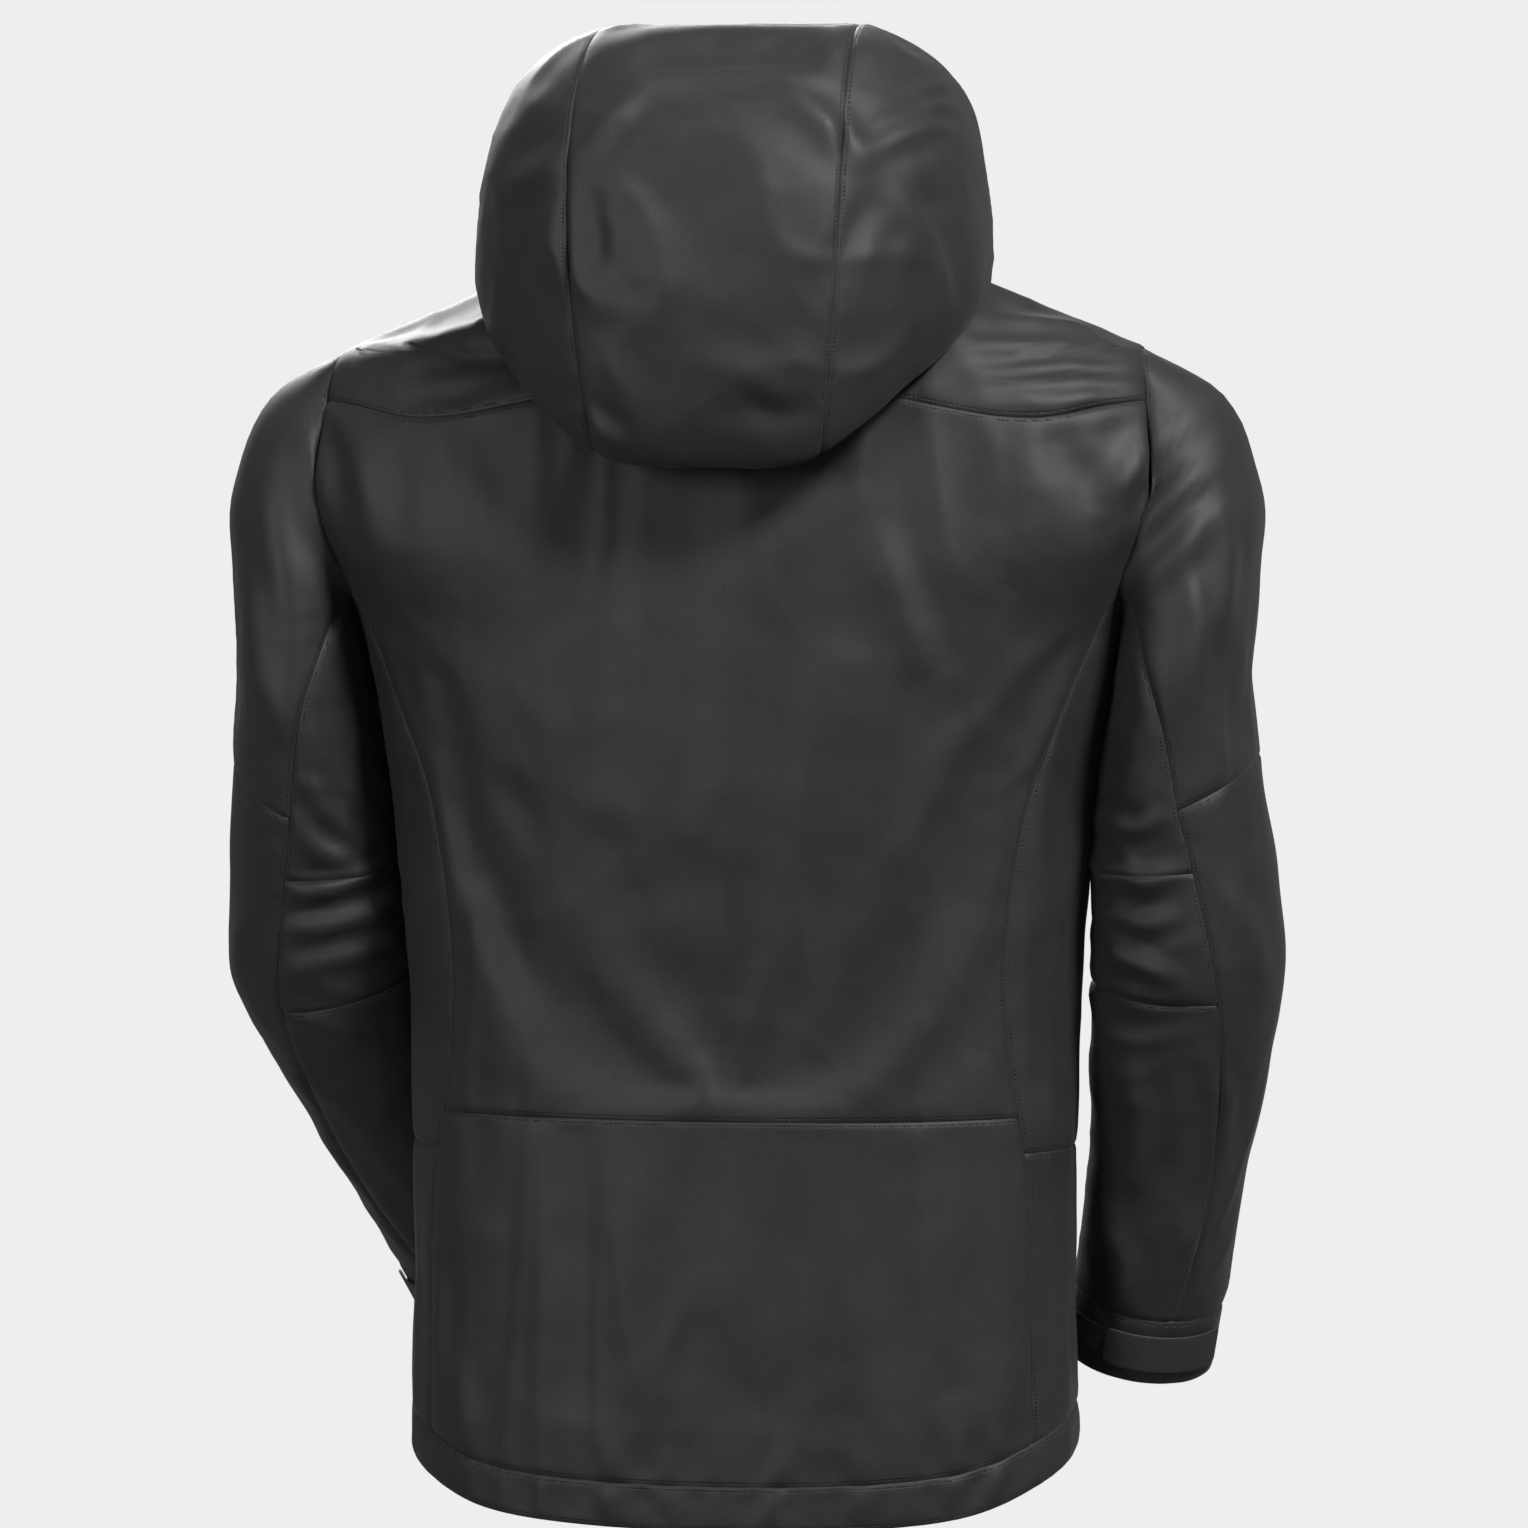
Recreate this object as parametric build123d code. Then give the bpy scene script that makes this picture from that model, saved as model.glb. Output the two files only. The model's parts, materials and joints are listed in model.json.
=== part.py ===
from build123d import *
import math
import os

# Hooded hardshell jacket, zipped up, hanging as if worn. Millimetres.
# +Z is up, the front faces -Y and +X is the wearer's left.
# The origin is the centre of the neck opening.

os.makedirs("parts", exist_ok=True)

# ---------------------------------------------------------------- driving sizes
fabric = 1.6                    # laminate and seam tape, as one wall
neck_half_width = 80.0
neck_back = 74.0
neck_front = 94.0
neck_top = 12.0
hem_front = -749.0              # lowest edge of the hem at the front
hem_back = -797.0               # lowest edge of the dropped back hem
hem_band = 28.0                 # height of the hem channel
front_lean = 0.028              # the front zip leans out this much per mm of drop
zip_gap = 9.0                   # half the gap between the fronts, under the zip
collar_top = 62.0

shoulder_x = 232.0              # shoulder pivots
shoulder_z = -135.0
head_radius = 78.0              # sleeve head, seen from the back
head_depth = 92.0               # sleeve head, half its depth front to back
armhole_gap = 2.0

left_elbow = (283.0, -30.0, -448.0)
left_wrist = (199.0, -178.0, -676.0)
right_elbow = (-285.0, -4.0, -447.0)
right_wrist = (-248.0, -70.0, -705.0)
elbow_radius = 59.0
cuff_radius = 50.0
cuff_length = 46.0

hood_top = 155.0
hood_bottom = -131.0
hood_half_width = 158.0
hood_centre_y = 32.0
hood_depth = 156.0
face_y = -88.0                  # plane of the hood's face opening
brim_reach = 44.0

cord_radius = 1.4
pocket_slot = 6.2               # half the width of the slot a pocket zip fills

# height, half width, depth behind and depth in front of the torso's middle
torso_rings = [
    (neck_top, neck_half_width, neck_back),
    (0.0, 122.0, 82.0),
    (-16.0, 160.0, 90.0),
    (-33.0, 198.0, 97.0),
    (-46.0, 227.0, 101.0),
    (-58.0, 254.0, 105.0),
    (-90.0, 262.0, 113.0),
    (-134.0, 259.0, 122.0),
    (-211.0, 247.0, 130.0),
    (-320.0, 229.0, 125.0),
    (-400.0, 221.0, 120.0),
    (-550.0, 214.0, 118.0),
    (-620.0, 213.0, 121.0),
    (-805.0, 216.0, 127.0),
]


# ---------------------------------------------------------------- helpers
def front_depth(z):
    """Distance of the centre front line ahead of the middle, at height z."""
    return neck_front - front_lean * z


def oval(z, half_width, back, front, centre_y=0.0, back_power=2.2, front_power=2.0):
    """A closed horizontal face: two half superellipses, one behind and one in front."""
    points = []
    for step in range(18):
        angle = 2 * math.pi * step / 18
        c, s = math.cos(angle), math.sin(angle)
        power = back_power if s > 0 else front_power
        depth = back if s > 0 else front
        x = math.copysign(abs(c) ** (2 / power), c) * half_width
        y = math.copysign(abs(s) ** (2 / power), s) * depth
        points.append((x, y + centre_y, z))
    return make_face(Spline(*points, periodic=True))


def torso_solid(grow=0.0, drop=0.0, bottom=-805.0):
    """The torso's outer form, grown sideways by grow and lowered by drop."""
    faces = []
    for z, half_width, back in torso_rings:
        low = z - drop if z > -100 else z
        faces.append(oval(low, half_width + grow, back + grow, front_depth(z) + grow))
    return loft(faces, ruled=True)


def band_below(height_at, depth=400.0):
    """Everything under a side profile, given as (y, z) points from front to back."""
    outline = [(-400.0, height_at[0][1]), *height_at, (400.0, height_at[-1][1])]
    outline += [(400.0, -1200.0), (-400.0, -1200.0)]
    return extrude(Plane.YZ * make_face(Polyline(*outline, close=True)), depth, both=True)


def block(x0, x1, y0, y1, z0, z1):
    """A box given by its six faces."""
    centre = ((x0 + x1) / 2, (y0 + y1) / 2, (z0 + z1) / 2)
    return Pos(*centre) * Box(abs(x1 - x0), abs(y1 - y0), abs(z1 - z0))


def front_back_prism(outline, y0, y1):
    """A prism along Y through an (x, z) outline."""
    face = make_face(Polyline(*[(x, 0.0, z) for x, z in outline], close=True))
    return Pos(0, y0, 0) * extrude(face, y1 - y0, dir=(0, 1, 0))


def mirrored(points):
    """The same (x, z) points on the wearer's right."""
    return [(-x, z) for x, z in points]


def tube(points, radius):
    """A cord: straight runs joined by tangent arcs, with a round section."""
    radii = []
    for a, b, c in zip(points, points[1:], points[2:]):
        into, out = Vector(b) - Vector(a), Vector(c) - Vector(b)
        half_turn = math.radians(into.get_angle(out)) / 2
        radii.append(0.45 * min(into.length, out.length) / math.tan(half_turn))
    path = FilletPolyline(*points, radius=radii)
    print("smallest cord radius", round(min(radii), 1), "length", round(path.length))
    section = Plane(origin=path @ 0, z_dir=path % 0) * Circle(radius)
    return sweep(section, path)


def save(name, shape):
    """Write one sub-part, as loose solids if it is several."""
    solids = shape.solids()
    whole = solids[0] if len(solids) == 1 else Compound(children=list(solids))
    export_step(whole, f"parts/{name}.step")
    print(name, len(solids), round(sum(s.volume for s in solids)))


def save_pair(name, left):
    """Write the wearer's left piece and its mirror image on the right."""
    save(f"left_{name}", left)
    save(f"right_{name}", left.mirror(Plane.YZ))


# ---------------------------------------------------------------- pocket zips and cord locks
def torso_size(z):
    """Half width of the torso at height z, straight between its rings."""
    for (z0, a0, _), (z1, a1, _) in zip(torso_rings, torso_rings[1:]):
        if z >= z1:
            return a0 + (a1 - a0) * (z - z0) / (z1 - z0)
    return torso_rings[-1][1]


def front_spot(x, z):
    """A frame on the front's surface: -Y outwards, Z up."""
    half_width, depth = torso_size(z), front_depth(z)
    y = -depth * math.sqrt(1 - (x / half_width) ** 2)
    turn = math.degrees(math.atan2(x / half_width ** 2, -y / depth ** 2))
    return Pos(x, y, z) * Rot(0, 0, turn) * Rot(front_tilt, 0, 0)


front_tilt = -math.degrees(math.atan(front_lean))
pocket_zips = [
    ("left_pocket_zip", front_spot(138.0, -430.0), 165.0),
    ("right_pocket_zip", front_spot(-138.0, -430.0), 165.0),
]
cord_locks = [
    ("left_hem_lock", Pos(120.0, -84.0, -728.0)),
    ("right_hem_lock", Pos(-120.0, -84.0, -728.0)),
    ("left_hood_lock", Pos(112.0, -60.0, 60.0)),
    ("right_hood_lock", Pos(-112.0, -60.0, 60.0)),
]

# ---------------------------------------------------------------- torso shell
hem_line = [
    (-130.0, hem_front), (0.0, -757.0), (60.0, -775.0), (97.0, -790.0), (130.0, hem_back),
]
hem_seam = [(y, z + hem_band) for y, z in hem_line]

torso_outer = torso_solid()
torso_inner = torso_solid(grow=-fabric, drop=fabric)
neck_hole = extrude(oval(-30.0, neck_half_width - 1.2, neck_back - 1.2, neck_front - 1.2), 90)


def head_form(radius, depth, side):
    """The sleeve head's ball, round about a front-to-back line through the shoulder."""
    faces = []
    for level in (-0.985, -0.9, -0.75, -0.55, -0.3, 0.0, 0.3, 0.55, 0.75, 0.9, 0.985):
        ring = Circle(radius * math.sqrt(1 - level ** 2))
        faces.append(Plane(origin=(0, level * depth, 0), z_dir=(0, 1, 0)) * ring)
    return Pos(side * shoulder_x, 0, shoulder_z) * loft(faces, ruled=True)


shell = torso_outer - torso_inner - neck_hole
for side in (1, -1):
    shell -= head_form(head_radius + armhole_gap, head_depth + armhole_gap, side)
shell -= block(-zip_gap, zip_gap, -300, -40, -900, 40)
for _, place, length in pocket_zips:
    shell -= place * block(-pocket_slot, pocket_slot, -12, 12, -length - 5.2, 2.6)
shell -= band_below(hem_seam)

# seams on the back, as (x, z) points down the wearer's left
yoke_tip = (300.0, -92.0)
yoke_point = (195.0, -100.0)
yoke_centre = (0.0, -72.0)
princess = [(236.0, -222.0), (208.0, -294.0), (182.0, -378.0), (176.0, -450.0), (184.0, -540.0)]
waist = -540.0
side_seam_front = 192.0

yoke_region = [
    (-300.0, 60.0), (300.0, 60.0), yoke_tip, yoke_point, yoke_centre,
    (-yoke_point[0], yoke_point[1]), (-yoke_tip[0], yoke_tip[1]),
]
side_region = [(400.0, -205.0), (243.0, -205.0), *princess, (184.0, waist - 22), (400.0, waist - 22)]
lower_side_region = [(184.0, waist - 22), (400.0, waist - 22), (400.0, -900), (192.0, -900.0)]
front_side_region = [
    (400.0, -205.0), (side_seam_front + 20, -205.0), (side_seam_front, -300.0),
    (side_seam_front, waist - 22), (400.0, waist - 22),
]
front_yoke_line = -165.0

back_half = shell & block(-400, 400, 0, 300, -900, 100)
front_half = shell & block(-400, 400, -300, 0, -900, 100)

save("back_yoke", back_half & front_back_prism(yoke_region, -10, 300))
back_rest = back_half - front_back_prism(yoke_region, -10, 300)

# the wearer's left side and front, and their mirror images
side_back = back_rest & front_back_prism(side_region, -10, 300)
side_front = front_half & front_back_prism(front_side_region, -300, 10)
save_pair("side_panel", side_back + side_front)
low_side_back = back_rest & front_back_prism(lower_side_region, -10, 300)
low_side_front = front_half & front_back_prism(lower_side_region, -300, 10)
save_pair("lower_side_panel", low_side_back + low_side_front)
front = front_half & block(0, 400, -300, 10, -900, 100)
front -= front_back_prism(front_side_region, -300, 10)
front -= front_back_prism(lower_side_region, -300, 10)
save_pair("front_yoke", front & block(0, 400, -300, 10, front_yoke_line, 100))
save_pair("front_panel", front & block(0, 400, -300, 10, -900, front_yoke_line))

for outline in (side_region, lower_side_region):
    back_rest -= front_back_prism(outline, -10, 300)
    back_rest -= front_back_prism(mirrored(outline), -10, 300)
save("centre_back_panel", back_rest & block(-400, 400, -10, 300, waist, 0))
save("lower_back_panel", back_rest & block(-400, 400, -10, 300, -900, waist))

# ---------------------------------------------------------------- hem channel and its cord
hem_outer = torso_solid(grow=0.8)
hem_inner = torso_solid(grow=-3.6)
hem_ring = (hem_outer - hem_inner) & band_below(hem_seam)
hem_ring = hem_ring - band_below(hem_line)
hem_ring = hem_ring - block(-zip_gap, zip_gap, -300, -40, -900, 40)
save("hem_channel", hem_ring)


def hem_height(y):
    """Height of the hem's edge at depth y, by straight steps between its points."""
    for (y0, z0), (y1, z1) in zip(hem_line, hem_line[1:]):
        if y <= y1:
            return z0 + (z1 - z0) * (y - y0) / (y1 - y0)
    return hem_line[-1][1]


hem_cord_points = []
for step in range(27):
    angle = math.radians(-82.0 + 344.0 * step / 26)
    c, s = math.cos(angle), math.sin(angle)
    back = s > 0
    power = 2.2 if back else 2.0
    depth = 124.8 if back else front_depth(-740.0) - 1.4
    x = math.copysign(abs(c) ** (2 / power), c) * 213.6
    y = math.copysign(abs(s) ** (2 / power), s) * depth
    hem_cord_points.append((x, y, hem_height(y) + hem_band / 2))
save("hem_drawcord", tube(hem_cord_points, cord_radius))

# ---------------------------------------------------------------- collar
collar_outer = loft(
    [
        oval(neck_top + 0.4, neck_half_width, neck_back, front_depth(neck_top)),
        oval(collar_top, neck_half_width + 5, neck_back + 5, front_depth(collar_top)),
    ],
    ruled=True,
)
collar_inner = loft(
    [
        oval(neck_top, neck_half_width - 2.4, neck_back - 2.4, front_depth(neck_top) - 2.4),
        oval(
            collar_top + 0.4, neck_half_width + 2.6, neck_back + 2.6,
            front_depth(collar_top) - 2.4,
        ),
    ],
    ruled=True,
)
collar = collar_outer - collar_inner
save("collar", collar - block(-zip_gap, zip_gap, -300, -40, -900, 100))

guard = loft(
    [
        oval(14.0, neck_half_width - 3, neck_back - 3, front_depth(14) - 3),
        oval(collar_top, neck_half_width + 2, neck_back + 2, front_depth(collar_top) - 3),
    ],
    ruled=True,
)
guard -= loft(
    [
        oval(13.0, neck_half_width - 4.5, neck_back - 4.5, front_depth(14) - 4.5),
        oval(
            collar_top + 1, neck_half_width + 0.5, neck_back + 0.5,
            front_depth(collar_top) - 4.5,
        ),
    ],
    ruled=True,
)
chin_guard = guard & block(-62, 62, -300, -40, 16, 100)
save("chin_guard", chin_guard - block(-zip_gap, zip_gap, -300, -40, -900, 100))

# ---------------------------------------------------------------- hood
hood_middle = (hood_top + hood_bottom) / 2
hood_half_height = (hood_top - hood_bottom) / 2


def hood_size(z):
    """Share of the hood's full width and depth at height z."""
    share = min(abs((z - hood_middle) / hood_half_height), 0.995)
    return (1 - share ** 2.5) ** (1 / 2.5)


def hood_shift(z):
    """How far back the hood's middle sits at height z: the pouch hangs behind."""
    return hood_centre_y + max(0.0, hood_middle - z) * 0.42


def hood_form(shrink):
    """The hood's closed outer form, made smaller all round by shrink."""
    faces = []
    levels = [-0.995, -0.93, -0.8, -0.6, -0.35, 0.0, 0.35, 0.6, 0.8, 0.93, 0.995]
    for level in levels:
        z = hood_middle + level * hood_half_height
        size = hood_size(z)
        low = hood_middle + level * (hood_half_height - shrink)
        half_width = hood_half_width * size - shrink
        depth = hood_depth * size - shrink
        faces.append(oval(low, half_width, depth, depth, hood_shift(z), 2.3, 2.3))
    return loft(faces, ruled=True)


hood_shell = hood_form(0.0) - hood_form(fabric)
hood_shell &= block(-400, 400, face_y, 400, -400, 400)
hood_shell -= torso_solid(grow=5.0, drop=-5.0)
hood_shell -= block(-66, 66, -60, 66, -200, 40)
base_line = [(-150.0, 34.0), (40.0, 24.0), (108.0, -58.0), (230.0, -104.0)]
hood_base = hood_shell & band_below([(y, z - 0.4) for y, z in base_line])
save("hood_base", hood_base)
hood_shell -= band_below(base_line)

binding_depth = 12.0
binding_zone = block(-400, 400, face_y - 1, face_y + binding_depth, -400, 400)
save("hood_face_binding", hood_shell & binding_zone)
hood_rest = hood_shell - block(-400, 400, face_y - 1, face_y + binding_depth, -400, 400)
centre_outline = [(-88.0, 400.0), (88.0, 400.0), (88.0, 60.0), (72.0, -60.0), (72.0, -200.0)]
centre_outline += [(-72.0, -200.0), (-72.0, -60.0), (-88.0, 60.0)]
centre_zone = front_back_prism(centre_outline, -300, 400)
save("hood_centre_panel", hood_rest & centre_zone)
hood_sides = hood_rest - centre_zone
save("left_hood_panel", hood_sides & block(0, 400, -300, 400, -400, 400))
save("right_hood_panel", hood_sides & block(-400, 0, -300, 400, -400, 400))


def face_half_width(z, y):
    """Half the hood's outer width at height z, on the upright plane at depth y."""
    size = hood_size(z)
    share = min(1.0, (hood_shift(z) - y) / (hood_depth * size))
    return hood_half_width * size * (1 - share ** 2.3) ** (1 / 2.3)


def face_points(y, inset, first, last, count):
    """Points round the hood's section on the plane at depth y, as (x, z)."""
    size_at_top = (hood_centre_y - y) / hood_depth
    rise = hood_half_height * (1 - size_at_top ** 2.5) ** (1 / 2.5)
    points = []
    for step in range(count):
        angle = math.radians(first + (last - first) * step / (count - 1))
        z = hood_middle + rise * math.sin(angle)
        half_width = face_half_width(min(z, hood_middle + rise - 0.05), y)
        x = math.copysign(max(half_width - inset, 0.0), math.cos(angle))
        points.append((x, z - inset * max(0.0, math.sin(angle))))
    return points


def brim_section(inset):
    """The closed region under the hood's edge that the peak is cut from."""
    edge = Spline(*face_points(face_y, inset, 8, 172, 15))
    return make_face(Plane.XZ * Curve([edge, Line(edge @ 1, edge @ 0)]))


brim_fall = (0.0, -1.0, -0.16)
brim = extrude(brim_section(0.0), 70, dir=brim_fall) - Pos(0, 2, 0) * extrude(
    brim_section(2.2), 80, dir=brim_fall
)
brim = Pos(0, face_y - 0.3, 0) * brim
brim &= Pos(0, face_y, 60) * extrude(Ellipse(104, brim_reach), 150)
brim &= block(-200, 200, -400, face_y - 0.3, 78, 400)
save("hood_brim", brim)

cord_y = face_y + binding_depth / 2
hood_cord_points = [(x, cord_y, z) for x, z in face_points(cord_y, 0.8, 10, 170, 15)]
save("hood_drawcord", tube(hood_cord_points, cord_radius))

# ---------------------------------------------------------------- sleeves
upper_sections = [
    # height, middle x, middle y, half size in x, half size in y
    (-128.0, 262.0, 0.0, 44.0, 88.0),
    (-213.0, 289.0, 0.0, 37.0, 89.0),
    (-262.0, 291.0, -5.0, 41.0, 86.0),
    (-320.0, 288.0, -13.0, 47.0, 78.0),
    (-384.0, 285.0, -22.0, 55.0, 68.0),
]
elbow_top = upper_sections[-1][0]
under_seam = [
    (120.0, -150.0), (236.0, -150.0), (262.0, -200.0), (274.0, -300.0), (284.0, -384.0),
    (290.0, -460.0), (120.0, -460.0),
]
tab_width = 26.0
tab_arc = (20.0, 112.0)         # degrees round the cuff, from the outer side to the back
hook_width = 20.0
hook_arc = (35.0, 75.0)
patch_width = 22.0
patch_arc = (30.0, 150.0)
patch_rings = (50.8, 51.6)      # inner and outer radius of each layer on the cuff
hook_rings = (51.8, 52.6)
tab_rings = (52.6, 54.2)
gusset_reach = 37.0             # how far the sleeve head wraps in past the shoulder pivot
forearm_start = 46.0            # distance below the elbow where the forearm's own panels start


def sleeve_section(z, x, y, half_x, half_y, lean):
    """A horizontal oval across the upper sleeve; lean moves it for the straighter arm."""
    return oval(z, half_x, half_y, half_y, y + lean, 2.0).moved(Location((x, 0, 0)))


def upper_form(side, inset, lean):
    """Upper sleeve and sleeve head as one closed form, inset all round."""
    faces = []
    for z, x, y, half_x, half_y in upper_sections:
        share = (upper_sections[0][0] - z) / (upper_sections[0][0] - elbow_top)
        end = -1.0 if z == elbow_top and inset > 0 else 0.0
        faces.append(
            sleeve_section(z + end, side * x, y, half_x - inset, half_y - inset, lean * share)
        )
    ball = head_form(head_radius - inset, head_depth - inset, side)
    return ball, loft(faces, ruled=True)


def forearm_section(elbow, wrist, distance, radius):
    """A round section across the forearm, this far below the elbow."""
    direction = (Vector(*wrist) - Vector(*elbow)).normalized()
    centre = Vector(*elbow) + direction * distance
    return Plane(origin=centre, x_dir=(1, 0, 0), z_dir=-direction) * Circle(radius)


def forearm_form(elbow, wrist, start, end, swell):
    """The forearm between two distances below the elbow, tapering to the cuff."""
    length = (Vector(*wrist) - Vector(*elbow)).length
    faces = []
    for distance in (start, (start + end) / 2, end):
        share = distance / length
        radius = elbow_radius + (cuff_radius - elbow_radius) * min(1.0, share / 0.8)
        faces.append(forearm_section(elbow, wrist, distance, radius + swell))
    return loft(faces, ruled=True)


def band_sector(rings, width, side, arc):
    """Part of a band round a cuff, between two angles from the outer side to the back."""
    inner, outer = rings
    start, end = arc
    ring = Cylinder(outer, width) - Cylinder(inner, width + 2)
    wedge_points = [(0.0, 0.0)]
    for step in range(9):
        angle = math.radians(start + (end - start) * step / 8)
        wedge_points.append((side * 90 * math.cos(angle), 90 * math.sin(angle)))
    wedge = extrude(make_face(Polyline(*wedge_points, close=True)), width, both=True)
    return ring & wedge


def make_sleeve(name, side, elbow, wrist, lean):
    """One sleeve: upper panels, elbow panel, forearm panels, cuff, tab and patches."""
    length = (Vector(*wrist) - Vector(*elbow)).length
    ball, arm = upper_form(side, 0.0, lean)
    ball_hollow, arm_hollow = upper_form(side, fabric, lean)
    upper = (ball + arm) - ball_hollow - arm_hollow
    # the head is open towards the body; its lower edge tucks in as an underarm gusset
    opening = Rot(0, side * 23.5, 0) * Box(300, 400, 300)
    shift = Vector(math.cos(math.radians(-23.5)) * side, 0, math.sin(math.radians(-23.5)))
    middle = Vector(side * shoulder_x, 0, shoulder_z) - shift * (gusset_reach + 150)
    upper -= Pos(middle.X, middle.Y, middle.Z) * opening
    outline = under_seam if side > 0 else mirrored(under_seam)
    under_zone = front_back_prism(outline, -300, 300)
    save(f"{name}_under_sleeve", upper & under_zone)
    save(f"{name}_upper_sleeve", upper - under_zone)

    z, x, y, half_x, half_y = upper_sections[-1]
    elbow_walls = []
    for inset, more in ((0.0, 0.0), (fabric, 1.0)):
        top = sleeve_section(z - 0.4 + more, side * x, y, half_x - inset, half_y - inset, lean)
        low = forearm_section(elbow, wrist, forearm_start - 0.4 + more, elbow_radius - 1 - inset)
        elbow_walls.append(loft([top, low]))
    save(f"{name}_elbow_panel", elbow_walls[0] - elbow_walls[1])

    forearm_end = length - cuff_length - 0.3
    forearm = forearm_form(elbow, wrist, forearm_start, forearm_end, 0.0)
    forearm -= forearm_form(elbow, wrist, forearm_start - 1, forearm_end + 1, -fabric)
    inner = [(elbow[0], 0.0), (elbow[0], elbow[2]), (wrist[0], wrist[2]), (wrist[0], -1000.0)]
    inner += [(0.0, -1000.0), (0.0, 0.0)]
    inner_zone = front_back_prism(inner, -500, 400)
    save(f"{name}_forearm_under_panel", forearm & inner_zone)
    save(f"{name}_forearm_panel", forearm - inner_zone)

    cuff = forearm_form(elbow, wrist, length - cuff_length, length, 0.8)
    cuff -= forearm_form(elbow, wrist, length - cuff_length - 1, length + 1, -2.2)
    save(f"{name}_cuff", cuff)

    frame = forearm_section(elbow, wrist, length - cuff_length / 2, 1.0)
    place = Plane(
        origin=frame.center(),
        x_dir=(1, 0, 0),
        z_dir=(Vector(*elbow) - Vector(*wrist)).normalized(),
    )
    patch = band_sector(patch_rings, patch_width, side, patch_arc)
    hook = band_sector(hook_rings, hook_width, side, hook_arc)
    tab = band_sector(tab_rings, tab_width, side, tab_arc)
    save(f"{name}_cuff_loop_patch", place * patch)
    save(f"{name}_cuff_tab", place * (hook + tab))
    turn = math.radians(tab_arc[1])
    reach = hook_rings[1] - 0.2
    hinge = place.from_local_coords(
        Vector(reach * side * math.cos(turn), reach * math.sin(turn), 0)
    )
    print(name, "tab hinge", hinge, "axis", place.z_dir)


make_sleeve("left", 1, left_elbow, left_wrist, 0.0)
make_sleeve("right", -1, right_elbow, right_wrist, 18.0)

# ---------------------------------------------------------------- zips
# Each zip has its own frame: Z up along the zip, -Y out of the jacket, the panel's face at Y = 0.
coil_half = 0.8                 # half the slit between the two coils
coil_edge = 2.6
coil_front = -0.6
coil_back = 1.8
tape_front = 0.2
tape_back = 1.4
main_tape_edge = 8.8            # half the width of the zips, over their tapes
pocket_tape_edge = 5.9
main_puller_length = 22.0
pocket_puller_length = 15.0
slider_drop = 6.0               # the closed slider stands this far below the top end
slider_half = 5.5
pin_out = -4.0                  # the puller's pin, in front of the panel
pin_up = 1.0
pin_radius = 0.8


def zip_slider():
    """Two plates joined by flanges and a divider, with a bridge pin for the puller."""
    body = block(-slider_half, slider_half, -2.2, -0.9, -5.5, 5.5)
    body += block(-slider_half, slider_half, 2.1, 3.2, -5.5, 5.5)
    body += block(-0.5, 0.5, -1.0, 2.2, 3.0, 5.5)
    for side in (-1, 1):
        body += block(side * 3.1, side * slider_half, -1.0, -0.1, -5.5, 5.5)
        body += block(side * 3.1, side * slider_half, 1.7, 2.2, -5.5, 5.5)
        body += block(side * 2.1, side * 3.0, pin_out - 0.9, -2.1, pin_up - 0.9, pin_up + 0.9)
    body += Pos(0, pin_out, pin_up) * Rot(0, 90, 0) * Cylinder(pin_radius, 5.0)
    return body


def zip_puller(length, half_width):
    """A flat tab that hangs from an eye round the slider's pin."""
    thick = 0.8
    eye = Pos(0, pin_out, pin_up) * Rot(0, 90, 0) * Cylinder(1.65, 3.6)
    neck = block(-1.8, 1.8, pin_out - thick, pin_out + thick, pin_up - 4.0, pin_up)
    low = pin_up - 3.5 - length
    tab = block(-half_width, half_width, pin_out - thick, pin_out + thick, low, pin_up - 3.5)
    tab = fillet(tab.edges().filter_by(Axis.Y), 1.6)
    body = eye + neck + tab
    body -= Pos(0, pin_out, pin_up) * Rot(0, 90, 0) * Cylinder(pin_radius + 0.07, 8)
    return body - Pos(0, pin_out, low + 4.5) * Rot(90, 0, 0) * Cylinder(1.7, 8)


def save_zip(name, place, length, tape_edge, puller_length):
    """Tapes, coils, end stops, slider and puller of one zip, hung from place."""
    halves = []
    for side in (1, -1):
        tape = block(side * coil_edge, side * tape_edge, tape_front, tape_back, -length, 0)
        coil = block(side * coil_half, side * coil_edge, coil_front, coil_back, -length, 0)
        stop = block(side * coil_half, side * coil_edge, -1.0, 2.2, 0, 2.4)
        halves.append(tape + coil + stop)
    box = block(-3.0, 3.0, -1.0, 2.2, -length - 5.0, -length)
    if name == "main_zip":
        save("main_zip_left_half", place * halves[0])
        save("main_zip_right_half", place * halves[1])
        save("main_zip_box", place * box)
    else:
        save(f"{name}_chain", place * Compound(children=[halves[0], halves[1] + box]))
    save(f"{name}_slider", place * Pos(0, 0, -slider_drop) * zip_slider())
    save(f"{name}_puller", place * Pos(0, 0, -slider_drop) * zip_puller(puller_length, 3.4))
    pin = place * Pos(0, pin_out, -slider_drop + pin_up)
    print(name, "pin", pin.position, "travel", length - 12)


main_zip_top = collar_top - 3.0
main_zip_place = Pos(0, -front_depth(main_zip_top), main_zip_top) * Rot(front_tilt, 0, 0)
main_zip_length = main_zip_top - hem_front - 12.0
save_zip("main_zip", main_zip_place, main_zip_length, main_tape_edge, main_puller_length)

flap = block(-14, 18, 5.6, 6.8, -main_zip_length + 4, -50)
save("inner_storm_flap", main_zip_place * flap)
for name, place, length in pocket_zips:
    save_zip(name, place, length, pocket_tape_edge, pocket_puller_length)

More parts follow.
